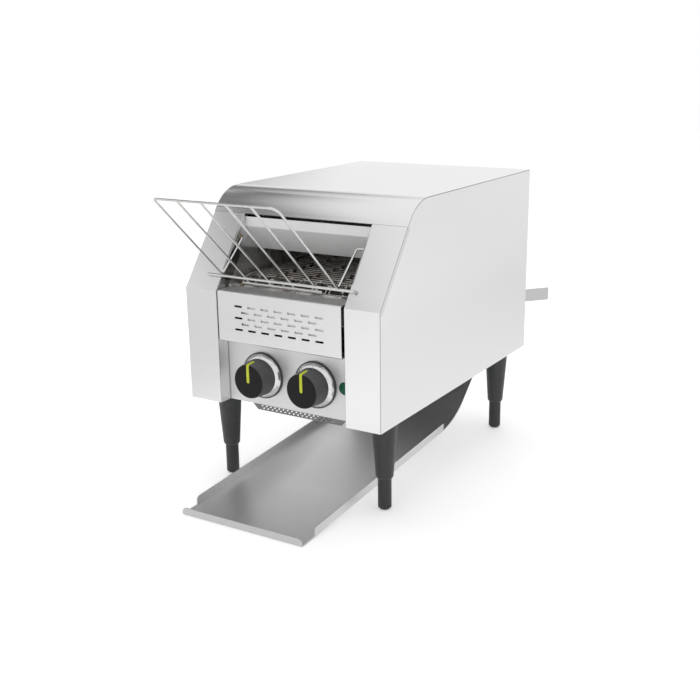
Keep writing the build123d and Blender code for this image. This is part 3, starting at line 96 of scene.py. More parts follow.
def camera_axes(azimuth, elevation, roll):
    """Columns are the camera's right, up and back directions.

    Back points from the scene to the camera: it turns by the azimuth round the upright
    and rises by the elevation. Right is level, up is square to both, and the roll then
    turns right and up round back.
    """
    a, e, r = (math.radians(angle) for angle in (azimuth, elevation, roll))
    back = np.array([math.sin(a) * math.cos(e), -math.cos(a) * math.cos(e), math.sin(e)])
    right = np.array([math.cos(a), math.sin(a), 0.0])
    up = np.cross(back, right)
    rolled = [right * math.cos(r) + up * math.sin(r), up * math.cos(r) - right * math.sin(r), back]
    return np.stack(rolled, axis=1)


def stand(thing, axes, place):
    """Puts a camera or a lamp at its place, with its right, up and back as columns."""
    pose = np.eye(4)
    pose[:3, :3], pose[:3, 3] = axes, place
    thing.matrix_world = Matrix(pose.tolist())


camera_data = bpy.data.cameras.new("studio_camera")
camera_data.sensor_width = 36.0
camera_data.lens = LENS
camera_data.clip_start = 0.01
camera_data.clip_end = 50.0
camera = bpy.data.objects.new("studio_camera", camera_data)
scene.collection.objects.link(camera)
stand(camera, camera_axes(CAMERA_AZIMUTH, CAMERA_ELEVATION, CAMERA_ROLL), CAMERA_PLACE)
scene.camera = camera
print("camera at", CAMERA_PLACE, "lens", LENS, "mm")

# %% [markdown]
# ## Building materials
#
# Every finish is a small graph of nodes. An image wrapped round the piece would do too,
# but a graph has no seams and stays sharp from near by. These helpers add a node, join
# two sockets and make the two patterns that most finishes share: a noise measured in
# metres, stretched along a direction where the metal was brushed, and a remap of that
# noise to a range.


# %% Helpers for node graphs
class Graph:
    """A tree of shader nodes, emptied, with short ways to add, join and calculate."""

    def __init__(self, tree):
        self.tree = tree
        tree.nodes.clear()

    def node(self, kind, **settings):
        """A new node of one kind, with its settings."""
        made = self.tree.nodes.new(kind)
        for key, value in settings.items():
            setattr(made, key, value)
        return made

    def fill(self, socket, value):
        """Gives an input its value: a link, a colour of three parts, or a number."""
        if isinstance(value, bpy.types.NodeSocket):
            self.tree.links.new(value, socket)
        elif isinstance(value, tuple):
            socket.default_value = (*value, 1.0)
        else:
            socket.default_value = value

    def math(self, operation, first, *others):
        """A step of arithmetic on one value, or on the first and the others in turn."""
        result = first
        for other in others or (0.0,):
            step = self.node("ShaderNodeMath", operation=operation)
            self.fill(step.inputs[0], result)
            self.fill(step.inputs[1], other)
            result = step.outputs[0]
        return result

    def spread(self, value, low, high, start=0.3, end=0.7):
        """Remaps value from start..end to low..high, held at both ends."""
        remap = self.node("ShaderNodeMapRange")
        sockets = ("Value", "From Min", "From Max", "To Min", "To Max")
        for socket, part in zip(sockets, (value, start, end, low, high)):
            self.fill(remap.inputs[socket], part)
        return remap.outputs["Result"]

    def over(self, value, limit, soft):
        """0 under a limit and 1 over it, changing from limit - soft to limit + soft."""
        return self.spread(value, 0.0, 1.0, limit - soft, limit + soft)

    def under(self, value, limit, soft):
        """1 under a limit and 0 over it, changing from limit - soft to limit + soft."""
        return self.spread(value, 1.0, 0.0, limit - soft, limit + soft)

    def blend(self, share, first, second):
        """Colour between first and second by share; each is a colour or a socket."""
        mix = self.node("ShaderNodeMix", data_type="RGBA")
        self.fill(mix.inputs["Factor"], share)
        self.fill(mix.inputs[6], first)
        self.fill(mix.inputs[7], second)
        return mix.outputs[2]

    def split(self, vector):
        """The three parts of a direction or a place."""
        parts = self.node("ShaderNodeSeparateXYZ")
        self.fill(parts.inputs[0], vector)
        return parts.outputs

    def seen(self):
        """1 for rays from the camera, off a mirror or through glass, and 0 for matt light."""
        rays = self.node("ShaderNodeLightPath").outputs
        return self.math("MAXIMUM", rays["Is Camera Ray"], rays["Is Glossy Ray"], rays["Is Transmission Ray"])


# %% A finish, which is a graph round one shader
class Finish(Graph):
    """A material whose graph starts as one Principled shader reading Object places."""

    def __init__(self, name, roughness=0.5, metallic=0.0):
        self.material = bpy.data.materials.new(name)
        self.material.use_nodes = True
        super().__init__(self.material.node_tree)
        self.shader = self.node("ShaderNodeBsdfPrincipled")
        self.fill(self.node("ShaderNodeOutputMaterial").inputs["Surface"], self.shader.outputs["BSDF"])
        self.give("Roughness", roughness)
        self.give("Metallic", metallic)
        coordinates = self.node("ShaderNodeTexCoord").outputs
        self.places, self.normals = coordinates["Object"], coordinates["Normal"]

    def give(self, socket, value):
        """Fills one of the shader's own inputs."""
        self.fill(self.shader.inputs[socket], value)

    def noise(self, scale, detail=2.0, stretch=(1.0, 1.0, 1.0)):
        """Soft noise: scale is patches per metre, and stretch multiplies it by axis."""
        mapping = self.node("ShaderNodeMapping")
        mapping.inputs["Scale"].default_value = [scale * part for part in stretch]
        self.fill(mapping.inputs["Vector"], self.places)
        texture = self.node("ShaderNodeTexNoise")
        texture.inputs["Scale"].default_value = 1.0
        texture.inputs["Detail"].default_value = detail
        self.fill(texture.inputs["Vector"], mapping.outputs["Vector"])
        return texture.outputs["Fac"]

    def mottled(self, scale, first, second, detail=2.0):
        """Two colours in soft patches, scale of them to a metre."""
        return self.blend(self.spread(self.noise(scale, detail), 0.0, 1.0), first, second)

    def painted_fold_shade(self):
        """Painted shade, a share up to 0.8, on the bend between a front face and a side face.

        It follows the product of how far the surface looks sideways and how far forward,
        which only a bend has above nothing.
        """
        facing = self.split(self.normals)
        both = self.math("MULTIPLY", self.math("ABSOLUTE", facing[0]), self.math("ABSOLUTE", facing[1]))
        return self.spread(both, 0.0, 0.8, 0.08, 0.4)

    def bumps(self, height, depth):
        """Raises the surface by height times depth in metres, for light only."""
        bump = self.node("ShaderNodeBump")
        bump.inputs["Distance"].default_value = depth
        self.fill(bump.inputs["Height"], height)
        self.give("Normal", bump.outputs["Normal"])

    def wear(self, *nodes):
        """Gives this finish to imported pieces, in all of their material places."""
        for name in nodes:
            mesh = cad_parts[name].data
            mesh.materials.clear()
            mesh.materials.append(self.material)
        print(self.material.name, "on", len(nodes), "packed pieces")
        return self


# %% [markdown]
# ## Casing steel
#
# The cover, sides and front are thin stainless sheet with a fine horizontal grain. On
# the front and top it runs left to right, and on the sides it runs front to back, as
# the sheet was brushed before it was folded. Streaks cut into the mesh would take
# millions of faces, so the grain is a stretched noise that changes colour, roughness
# and slope only a little. Cut edges and seams read as thin dark lines. Folds, a band
# behind the sloping edge of the sides and the inner corners of the front flanges get
# painted shade as thin dark lines too. Each is found by its place or by the way that
# the surface looks there.

# %% Brushed sheet
ALONG_X = (0.006, 1.0, 1.0)
ALONG_XY = (0.006, 0.006, 1.0)
ALONG_Y = (1.0, 0.006, 0.006)
EVENLY = (1.0, 1.0, 1.0)
STREAKS_PER_BAND = 9
CLOUDS_PER_METRE = 9.0
STREAK_ROUGHNESS, CLOUD_ROUGHNESS = 0.015, 0.012


def grey(value):
    """A colour whose three parts are the same."""
    return (value, value, value)


def brushed(name, light, dark, rough, along, grain=2400.0, depth=0.8e-6, marks=None, metal=1.0, shade=0.42):
    """Brushed sheet steel: fine streaks along one way, under broad faint clouds.

    along is the stretch by axis: near 0 where the streaks run, 1 across them. The
    streaks tint the colour slightly, change its roughness and scratch its surface. The
    clouds are the slow changes that rolling and handling leave on a sheet. A fold gets
    painted shade as a thin darker line, and marks may add more dark lines: real seams or
    more painted shade, a share from 0 to 1.
    Below 1, metal lets some light scatter, as the skin of a coarse or matt sheet does.
    """
    steel = Finish(name, metallic=metal)
    streaks = steel.noise(grain, 3.0, along)
    bands = steel.noise(grain / STREAKS_PER_BAND, 2.0, along)
    clouds = steel.noise(CLOUDS_PER_METRE)
    mixed = steel.math("ADD", steel.math("MULTIPLY", streaks, 0.6), steel.math("MULTIPLY", bands, 0.4))
    sheet = steel.blend(steel.spread(mixed, 0.0, 1.0), dark, light)
    # painted shade on folds, and below it what marks add: seams on the cover, painted shade elsewhere
    lines = steel.painted_fold_shade()
    if marks:
        lines = steel.math("MAXIMUM", lines, marks(steel))
    steel.give("Base Color", steel.blend(lines, sheet, tuple(shade * part for part in light)))
    by_streak = steel.spread(mixed, rough - STREAK_ROUGHNESS, rough + STREAK_ROUGHNESS)
    by_cloud = steel.spread(clouds, -CLOUD_ROUGHNESS, CLOUD_ROUGHNESS)
    steel.give("Roughness", steel.math("ADD", by_streak, by_cloud))
    steel.bumps(streaks, depth)
    return steel


STEEL_LIGHT, STEEL_DARK = grey(0.755), (0.735, 0.735, 0.738)
brushed("front_steel", STEEL_LIGHT, STEEL_DARK, 0.32, ALONG_X, metal=0.85).wear("vent_panel")
brushed("base_steel", grey(0.90), grey(0.87), 0.5, ALONG_X, metal=0.3).wear("base_plate")
brushed("spacer_steel", grey(0.95), grey(0.93), 0.35, ALONG_XY).wear("wall_spacers")

# %% Cover
SLOPE = math.radians(36.6)
SEAM_WIDTH, SEAM_SOFT = 0.00105, 0.00025

_, cover_front, cover_foot = corners("top_cover")[0]


def cover_marks(steel):
    """Dark hairlines where the cover meets the sides: its cut edges and lower seam.

    A cut edge looks straight sideways. The seam is where the distance up the slope
    from the cover's lowest edge is less than its width.
    """
    cut = steel.over(steel.math("ABSOLUTE", steel.split(steel.normals)[0]), 0.75, 0.15)
    place = steel.split(steel.places)
    up = steel.math("MULTIPLY", steel.math("SUBTRACT", place[2], cover_foot), math.cos(SLOPE))
    back = steel.math("MULTIPLY", steel.math("SUBTRACT", place[1], cover_front), math.sin(SLOPE))
    return steel.math("MAXIMUM", cut, steel.under(steel.math("ADD", up, back), SEAM_WIDTH, SEAM_SOFT))


brushed("cover_steel", STEEL_LIGHT, STEEL_DARK, 0.2, ALONG_X, marks=cover_marks).wear("top_cover")

# %% Sides and back
PANEL_PAST_KNEE = 0.0016
BAND_WIDTH, BAND_SOFT = 0.0062, 0.0004
BAND_UNDER_KNEE = 0.004
FLANGE_INNER = 0.0968
FLANGE_DEPTH = 0.0185
FLANGE_BACK = 0.055

knee_height = float(corners("vent_panel")[1][2]) - PANEL_PAST_KNEE


def side_painted_shade(steel):
    """Painted shade: a faint band behind the sloping edge, and a dark inner edge on the front
    flanges.

    The distance behind the slope is the place behind the front, turned by the slope's
    angle. The band lies between the knee and the cover, on faces that look sideways.
    The dark edge is painted shadow in the corner where a flange beside the opening meets
    the recessed panel.
    """
    place = steel.split(steel.places)
    back = steel.math("MULTIPLY", steel.math("SUBTRACT", place[1], front_y), math.cos(SLOPE))
    rise = steel.math("MULTIPLY", steel.math("SUBTRACT", place[2], knee_height), math.sin(SLOPE))
    behind = steel.under(steel.math("SUBTRACT", back, rise), BAND_WIDTH, BAND_SOFT)
    above = steel.over(place[2], knee_height - BAND_UNDER_KNEE, 0.0005)
    below = steel.under(place[2], cover_foot - 0.0005, 0.0005)
    sideways = steel.spread(steel.math("ABSOLUTE", steel.split(steel.normals)[0]), 0.0, 0.26, 0.9, 0.95)
    band = steel.math("MULTIPLY", above, below, behind, sideways)
    inner = steel.under(steel.math("ABSOLUTE", place[0]), FLANGE_INNER, 0.0002)
    deep = steel.over(place[1], front_y + FLANGE_DEPTH, 0.0003)
    front = steel.under(place[1], front_y + FLANGE_BACK, 0.005)
    return steel.math("MAXIMUM", band, steel.math("MULTIPLY", inner, deep, front))


side_steel = brushed("side_steel", STEEL_LIGHT, STEEL_DARK, 0.24, ALONG_XY, marks=side_painted_shade)
side_steel.wear("side_panel_left", "side_panel_right", "back_panel")
print("knee of the front at height", round(knee_height, 4))


# %% Control panel and its skirt
def skirt_shade(steel):
    """Painted shade over all of the slotted skirt under the casing, which makes it a darker strip."""
    return steel.under(steel.split(steel.places)[2], casing_low[2], 0.0004)


panel_steel = brushed(
    "panel_steel", STEEL_LIGHT, STEEL_DARK, 0.38, ALONG_X, marks=skirt_shade, metal=0.62, shade=0.26
)
panel_steel.wear("control_panel")


# %% Tray
CHUTE_SHADE, CHUTE_START, CHUTE_FULL = 0.5, -0.02, 0.08
FRONT_SHADE, FRONT_FULL, FRONT_END = 0.62, -0.30, -0.17
LIP_SHADE, FLANGE_SHADE = 0.35, 0.2


def tray_shade(steel):
    """Painted shade on the tray: on the lip and flanges outside, its front end, and the chute.

    The lip looks forward and the flanges sideways, and both are painted darker by the way
    they face. The chute's painted shade, under the casing, grows toward the back, and the
    front end's, standing in for darker reflections, grows toward the front.
    """
    facing = steel.split(steel.normals)
    forward = steel.spread(facing[1], LIP_SHADE, 0.0, -0.95, -0.6)
    outward = steel.spread(steel.math("ABSOLUTE", facing[0]), 0.0, FLANGE_SHADE, 0.6, 0.9)
    along = steel.split(steel.places)[1]
    chute = steel.spread(along, 0.0, CHUTE_SHADE, CHUTE_START, CHUTE_FULL)
    front_end = steel.spread(along, FRONT_SHADE, 0.0, FRONT_FULL, FRONT_END)
    return steel.math("MAXIMUM", chute, front_end, forward, outward)


tray_steel = brushed(
    "tray_steel", grey(0.88), grey(0.86), 0.30, ALONG_Y, 2000.0, 0.15e-6, marks=tray_shade, metal=0.72
)
tray_steel.wear("toast_tray")

# %% [markdown]
# ## Toasting chamber
#
# Inside, the sheets are plain mill-finished steel that heat has tinted in faint warm
# patches. The guard at the mouth scatters light most, so it looks nearly white. The
# tint could be painted sheet by sheet, but one slow noise over the places of them all
# runs on from sheet to sheet as real heat does.


# %% Chamber finishes
def heated(name, light, tint, rough, patches=14.0, metal=1.0):
    """Mill-finished steel with heat tint: the tint grows where a slow noise is high."""
    steel = Finish(name, metallic=metal)
    tinting = steel.spread(steel.noise(patches, 4.0), 0.0, 1.0, 0.42, 0.75)
    steel.give("Base Color", steel.blend(tinting, light, tint))
    steel.give("Roughness", steel.spread(steel.noise(40.0, 3.0), rough - 0.06, rough + 0.08))
    steel.bumps(steel.noise(900.0, 2.0, ALONG_X), 5e-6)
    return steel


chamber_steel = heated("chamber_steel", grey(0.64), (0.54, 0.52, 0.49), 0.25, metal=0.8)
chamber_steel.wear("chamber_wall_left", "chamber_wall_right", "chamber_roof", "rear_bulkhead")
chamber_steel.wear("crumb_shelf", "drop_guide", "chute_rest")
heated("guard_steel", grey(0.97), (0.93, 0.92, 0.91), 0.5, metal=0.1).wear("heat_guard")

# %% [markdown]
# ## Small metal parts
#
# Ground shafts, cut sprockets, bronze bushes and the bright wire of the rack differ in
# colour and in how sharply they reflect. Each could have a graph of its own, but a lathe,
# a cutter and a drawing die all leave fine lines, so one graph serves with other numbers.


# %% Machined, cast and drawn metal
def machined(name, colour, rough, stretch=(0.02, 1.0, 1.0), pitch=2500.0):
    """Turned or drawn metal: fine rings or lines across the stretch, barely visible."""
    metal = Finish(name, metallic=1.0)
    lines = metal.noise(pitch, 2.0, stretch)
    darker = tuple(0.86 * part for part in colour)
    metal.give("Base Color", metal.blend(metal.spread(lines, 0.0, 1.0), darker, colour))
    metal.give("Roughness", metal.spread(metal.noise(60.0, 3.0), rough - 0.04, rough + 0.06))
    metal.bumps(lines, 4e-6)
    return metal


shaft_steel = machined("shaft_steel", (0.62, 0.61, 0.60), 0.25)
shaft_steel.wear("front_shaft", "rear_shaft", "motor_shaft", "knob_spindle_left", "knob_spindle_right")
shaft_steel.wear("leg_bolts", "back_screws")
machined("sprocket_steel", (0.45, 0.44, 0.43), 0.38).wear(
    "front_sprockets", "rear_sprockets", "drive_sprocket", "motor_sprocket", "drive_chain"
)
machined("bush_bronze", (0.40, 0.30, 0.19), 0.42).wear("shaft_bushes", "rack_bushes")
machined("rack_wire", (0.68, 0.68, 0.67), 0.14, EVENLY, 360.0).wear("feed_rack")
machined("motor_casting", grey(0.42), 0.5, EVENLY, 700.0).wear("gear_motor")
dial_chrome = machined("dial_chrome", (0.86, 0.86, 0.87), 0.16, EVENLY, 1800.0)
dial_chrome.give("Metallic", 0.72)
dial_chrome.wear("dial_left", "dial_right")
heating_wire = machined("heating_wire", (0.30, 0.26, 0.23), 0.5).wear("heater_coils")

# %% [markdown]
# ## Plastics, ceramic and glass
#
# Moulded parts carry a fine grain from their tool. Its depth and the gloss tell a soft
# leg sleeve from a hard knob. A flat black would do from afar, but near by it looks cut
# out of paper, so even the darkest parts get a mottle and a pebbled skin.


# %% Moulded and fired parts
def moulded(name, colour, rough, grain=2200.0, depth=8e-6, gloss=0.5):
    """Moulded plastic: even colour with a faint mottle, and a fine pebbled skin."""
    plastic = Finish(name)
    plastic.give("Specular IOR Level", gloss)
    lighter = tuple(min(1.0, 1.18 * part + 0.002) for part in colour)
    plastic.give("Base Color", plastic.mottled(120.0, colour, lighter, detail=3.0))
    plastic.give("Roughness", plastic.spread(plastic.noise(70.0), rough - 0.04, rough + 0.05))
    plastic.bumps(plastic.noise(grain), depth)
    return plastic


CORNERS = ("front_left", "front_right", "rear_left", "rear_right")
moulded("leg_black", (0.030, 0.031, 0.033), 0.42).wear(*(f"leg_{corner}" for corner in CORNERS))
moulded("foot_black", (0.026, 0.026, 0.028), 0.5).wear(*(f"foot_{corner}" for corner in CORNERS))
pointer = moulded("pointer_lime", (0.62, 0.70, 0.012), 0.4).wear("knob_pointer_left", "knob_pointer_right")
rim = moulded("rim_black", (0.035, 0.036, 0.038), 0.4).wear("dial_rims")
moulded("gland_black", grey(0.012), 0.5).wear("cable_gland")
moulded("switch_plastic", (0.035, 0.033, 0.03), 0.45).wear(
    "mode_switch", "speed_regulator", "pilot_lamp_body", "terminal_block"
)
moulded("ceramic", (0.74, 0.70, 0.62), 0.55, 500.0, 2e-5).wear("heater_caps")
marking_ink = moulded("marking_ink", (0.10, 0.10, 0.102), 0.6)
end_rubber = moulded("end_rubber", grey(0.48), 0.5)

# %% Knobs, with a dark face and painted light on the grip
KNOB_FACE, KNOB_GRIP_PAINTED_LIGHT = (0.006, 0.006, 0.0065), (0.125, 0.125, 0.127)

knob = moulded("knob_black", KNOB_FACE, 0.40, gloss=0.2)
# the grip's lighter grey is painted light: it stands in for the light the knob's sides catch
grip = knob.spread(knob.math("ABSOLUTE", knob.split(knob.normals)[1]), 1.0, 0.0, 0.3, 0.9)
knob.give("Base Color", knob.blend(grip, KNOB_FACE, KNOB_GRIP_PAINTED_LIGHT))
knob.wear("knob_left", "knob_right")

# %% Quartz tubes and the pilot lamp's lens
quartz = Finish("quartz", roughness=0.08)
quartz.give("Transmission Weight", 0.85)
quartz.give("IOR", 1.46)
quartz.give("Base Color", quartz.mottled(30.0, (0.86, 0.87, 0.88), grey(0.95)))
quartz.bumps(quartz.noise(300.0, 1.0), 1e-5)
quartz.wear("heater_tubes_upper", "heater_tubes_lower")

lamp_green = Finish("lamp_green", roughness=0.18)
lamp_green.give("Specular IOR Level", 0.25)
lamp_green.give("Base Color", lamp_green.mottled(400.0, (0.001, 0.105, 0.042), (0.002, 0.15, 0.060)))
lamp_green.bumps(lamp_green.noise(500.0, 1.0), 2e-5)
lamp_green.wear("pilot_lamp_lens")

# %% [markdown]
# ## Turning arrays into pieces
#
# Every new piece is worked out as an array of points. Blender's curves and its Screw
# modifier could draw most of them, but an array shows how each shape comes about. A
# closed piece is a row of rings with one point at either end. A tube is a ring carried
# along a path, held by two directions square to it. They come from one fixed reference
# direction, which must never lie along the path.


# %% Objects from points and faces
def piece(name, points, faces, finish, body, smooth=True):
    """Makes an object from points and a list of faces, already in its place."""
    mesh = bpy.data.meshes.new(name)
    mesh.from_pydata(points.tolist(), [], faces)
    mesh.polygons.foreach_set("use_smooth", np.full(len(faces), smooth))
    mesh.update()
    mesh.materials.append(finish.material)
    made = bpy.data.objects.new(name, mesh)
    scene.collection.objects.link(made)
    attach(made, body)
    print(name, "faces", len(faces))
    return made


def closed_piece(name, shape, finish, body="casing"):
    """Makes an object from a closed shape: points, quads and end triangles."""
    points, quads, tips = shape
    return piece(name, points, quads.tolist() + tips.tolist(), finish, body)


def joined(shapes):
    """Several closed shapes in one, whose faces count on from the points before."""
    points, quads, tips = zip(*shapes)
    before = np.cumsum([0, *map(len, points)])[:-1]
    return (
        np.vstack(points),
        np.vstack([faces + start for faces, start in zip(quads, before)]),
        np.vstack([faces + start for faces, start in zip(tips, before)]),
    )


# %% Rings, tubes and smooth paths
def unit(vectors):
    """Directions of length 1: each is divided by the root of its squares' sum."""
    return vectors / np.linalg.norm(vectors, axis=-1, keepdims=True)


def full_turn(sides):
    """Even angles round a circle."""
    return np.linspace(0, 2 * math.pi, sides, endpoint=False)


def closed_faces(rings, sides):
    """Quads between neighbouring rings, and triangles from the end rings to two points.

    The rings' points come one ring after another, and the two end points come last.
    """
    step, turn = np.meshgrid(np.arange(rings - 1), np.arange(sides), indexing="ij")
    here, beside = step * sides + turn, step * sides + (turn + 1) % sides
    quads = np.stack([here, beside, beside + sides, here + sides], axis=-1).reshape(-1, 4)
    own, following = np.arange(sides), (np.arange(sides) + 1) % sides
    last, end = (rings - 1) * sides, rings * sides
    near = np.stack([following, own, np.full(sides, end)], axis=-1)
    far = np.stack([last + own, last + following, np.full(sides, end + 1)], axis=-1)
    return quads, np.vstack([near, far])


def tube(path, radius, sides, reference):
    """Points and faces of a closed tube along a path.

    The tangent is the difference of neighbouring points. The ring's two directions are
    reference x tangent and tangent x that, both of length 1; each ring point is the path
    point plus radius times (cosine of first + sine of second). The radius is one number,
    or one pair for every point of the path, for a flat section.
    """
    tangent = unit(np.gradient(path, axis=0))
    first = unit(np.cross(reference, tangent))
    second = np.cross(tangent, first)
    angle = full_turn(sides)[:, None]
    thick, wide = np.broadcast_to(radius, (len(path), 2)).T[..., None, None]
    ring = thick * first[:, None] * np.cos(angle) + wide * second[:, None] * np.sin(angle)
    points = (path[:, None] + ring).reshape(-1, 3)
    return np.vstack([points, path[:1], path[-1:]]), *closed_faces(len(path), sides)


def rounded(bends, times=2):
    """Corner cutting: each stretch keeps its points at a quarter and three quarters."""
    path = np.asarray(bends, float)
    for _ in range(times):
        near = 0.75 * path[:-1] + 0.25 * path[1:]
        far = 0.25 * path[:-1] + 0.75 * path[1:]
        inner = np.stack([near, far], axis=1).reshape(-1, 3)
        path = np.vstack([path[:1], inner, path[-1:]])
    return path


# %% [markdown]
# ## Wire belt
#
# The belt is made of bent cross wires. Each wire runs across the toaster, steps forward
# in narrow hairpins that hold the next wire, and ends in a hook at both edges. Where a
# hairpin's first leg passes over the next wire, that wire dips, and it rises over the
# second leg, so the belt stays thin. Wires of two kinds take turns, with one hairpin or
# two. A curve modifier would bend them where they turn round the shafts, so every wire
# is placed whole on one link of a closed loop.

# %% Measure the loop
BELT_PITCH = 0.010
BELT_TEETH = 12
BELT_WIRE = 0.00085
BELT_WEAVE = 0.0008
BELT_EDGE = 0.001
HAIRPIN_HALF = 0.0024
HAIRPIN_STEP = 0.0435
HAIRPIN_PAST = 0.0019
HAIRPIN_FOOT = 0.001
HAIRPIN_ROUND = 0.0006
DIP_RUN = 0.003
HOOK_IN = 0.0035

front_shaft = middle("front_sprockets")[1:]
rear_shaft = middle("rear_sprockets")[1:]
run_links = round((rear_shaft[0] - front_shaft[0]) / BELT_PITCH)
belt_half = corners("wire_belt")[1][0] - BELT_EDGE
belt_radius = BELT_PITCH / (2 * math.sin(math.pi / BELT_TEETH))
print("links in a straight run:", run_links, "radius at the shafts", round(belt_radius, 5))


# %% One cross wire
def belt_wire_path(own, others):
    """Path of one wire in its link's frame: x across, y toward the next wire, z out.

    Along the straight part z follows a dip and a rise at each hairpin of the wire
    before. Each own hairpin goes out over the next wire, turns, and comes back under it.
    """
    reach = BELT_PITCH + HAIRPIN_PAST
    lift = BELT_WEAVE
    end = belt_half - HOOK_IN
    left_hook = [
        (-end, BELT_PITCH - 0.0002, -1.9 * lift),
        (-end, reach, -0.6 * lift),
        (-end, BELT_PITCH + 0.0010, 1.9 * lift),
        (-end - 0.0002, BELT_PITCH - 0.0012, 1.7 * lift),
        (-belt_half, 0.0012, 0.0),
        (-belt_half + 0.0008, 0.0, 0.0),
    ]
    path = list(left_hook)
    stops = sorted([(x, True) for x in own] + [(x, False) for x in others])
    for x, is_own in stops:
        first, second = x - HAIRPIN_HALF, x + HAIRPIN_HALF
        if is_own:
            path += [
                (first - HAIRPIN_FOOT, 0.0, 0.0),
                (first, HAIRPIN_FOOT, 0.2 * lift),
                (first, BELT_PITCH, lift),
                (first + HAIRPIN_ROUND, reach, 0.6 * lift),
                (second - HAIRPIN_ROUND, reach, -0.6 * lift),
                (second, BELT_PITCH, -lift),
                (second, HAIRPIN_FOOT, -0.2 * lift),
                (second + HAIRPIN_FOOT, 0.0, 0.0),
            ]
        else:
            path += [(first - DIP_RUN, 0.0, 0.0), (first, 0.0, -lift)]
            path += [(second, 0.0, lift), (second + DIP_RUN, 0.0, 0.0)]
    path += [(-x, y, z) for x, y, z in reversed(left_hook)]
    return rounded(path)


WIRE_REFERENCE = np.array([0.80, 0.28, 0.48])
pair_hairpins, single_hairpin = (-HAIRPIN_STEP, HAIRPIN_STEP), (0.0,)
wire_kinds = [
    tube(belt_wire_path(pair_hairpins, single_hairpin), BELT_WIRE, 6, WIRE_REFERENCE),
    tube(belt_wire_path(single_hairpin, pair_hairpins), BELT_WIRE, 6, WIRE_REFERENCE),
]
print("points in a wire of either kind:", *(len(wire[0]) for wire in wire_kinds))


# %% Links of the loop
def loop_places():
    """Corner of every link and its direction, as (y, z) rows.

    The upper run goes back from over the front shaft, then half a turn of steps of
    one tooth each round the rear shaft, then the same for the lower run.
    """
    run = np.arange(run_links) * BELT_PITCH
    turn = -2 * math.pi * np.arange(BELT_TEETH // 2) / BELT_TEETH
    upper = np.stack([run, np.full(len(run), belt_radius)], axis=1)
    half_turn = belt_radius * np.stack([-np.sin(turn), np.cos(turn)], axis=1)
    there, back = (front_shaft + upper, rear_shaft + half_turn), (rear_shaft - upper, front_shaft - half_turn)
    places = np.vstack(there + back)
    return places, unit(np.roll(places, -1, axis=0) - places)


link_places, link_along = loop_places()
print("links:", len(link_places))


# %% All wires of the belt
def placed_wires(wire, corner, along):
    """A wire on every link: x stays, y goes along the link, and z goes out square to it."""
    points, quads, tips = wire
    out = np.stack([-along[:, 1], along[:, 0]], axis=1)
    x = np.broadcast_to(points[:, 0], (len(corner), len(points)))
    yz = corner[:, None] + along[:, None] * points[None, :, 1, None] + out[:, None] * points[None, :, 2, None]
    before = np.arange(len(corner))[:, None, None] * len(points)
    placed = np.concatenate([x[..., None], yz], axis=-1)
    return placed.reshape(-1, 3), (quads + before).reshape(-1, 4), (tips + before).reshape(-1, 3)


belt_steel = heated("belt_wire", (0.50, 0.48, 0.46), (0.30, 0.24, 0.19), 0.3, patches=30.0)
wires = [placed_wires(wire_kinds[kind], link_places[kind::2], link_along[kind::2]) for kind in (0, 1)]
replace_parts(closed_piece("woven_belt", joined(wires), belt_steel), "wire_belt")

# %% [markdown]
# ## Heating coils
#
# Each quartz tube holds a coil of resistance wire. A coil is a helix: the distance along
# the tube grows evenly while the wire goes round. Stripes on a rod would look alike from
# afar, but the gaps show through the glass, so the wire is wound in full. It replaces
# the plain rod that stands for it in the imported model.

# %% Wind the coils
COIL_RADIUS = 0.0021
COIL_WIRE = 0.00035
COIL_PITCH = 0.0034
STEPS_PER_TURN = 10
TUBES_PER_ROW = 3
ALONG_TUBE = np.array([1.0, 0.0, 0.0])

coil_low, coil_high = corners("heater_coils")


def tube_middles(node):
    """Middles (y, z) of a row of equal tubes, spread evenly over their common box."""
    low, high = corners(node)
    radius = (high[2] - low[2]) / 2
    depths = np.linspace(low[1] + radius, high[1] - radius, TUBES_PER_ROW)
    return [(depth, low[2] + radius) for depth in depths]


def coil_path(center_y, center_z):
    """Helix: x even along the tube, y and z on a circle round its middle."""
    length = coil_high[0] - coil_low[0] - 2 * COIL_WIRE
    turns = int(length / COIL_PITCH)
    share = np.linspace(0.0, 1.0, turns * STEPS_PER_TURN + 1)
    angle = 2 * math.pi * turns * share
    x = coil_low[0] + COIL_WIRE + share * length
    y, z = center_y + COIL_RADIUS * np.cos(angle), center_z + COIL_RADIUS * np.sin(angle)
    return np.stack([x, y, z], axis=1)


centers = tube_middles("heater_tubes_upper") + tube_middles("heater_tubes_lower")
coils = joined([tube(coil_path(*center), COIL_WIRE, 4, ALONG_TUBE) for center in centers])
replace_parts(closed_piece("wound_coils", coils, heating_wire), "heater_coils")

# %% [markdown]
# ## Turned details
#
# The screws in the chamber walls and the rubber end of the rack's rod are shapes of
# revolution: a profile of radius and height, turned round an axis. A short cylinder with
# a bevel comes close, but a profile also gives the dome and the dimple of a screw head.

# %% Screws of the chamber
SCREW_RADIUS = 0.0026
SCREW_BACK, SCREW_HEIGHT = 0.030, 0.270
# pan head in shares of its radius: a short straight edge, a dome and a drive dimple
SCREW_PROFILE = np.array(
    [
        (0, 0), (0.98, 0), (1, 0.12), (1, 0.28), (0.94, 0.42), (0.78, 0.56), (0.55, 0.65), (0.40, 0.68),
        (0.34, 0.66), (0.22, 0.36), (0, 0.30),
    ]
)


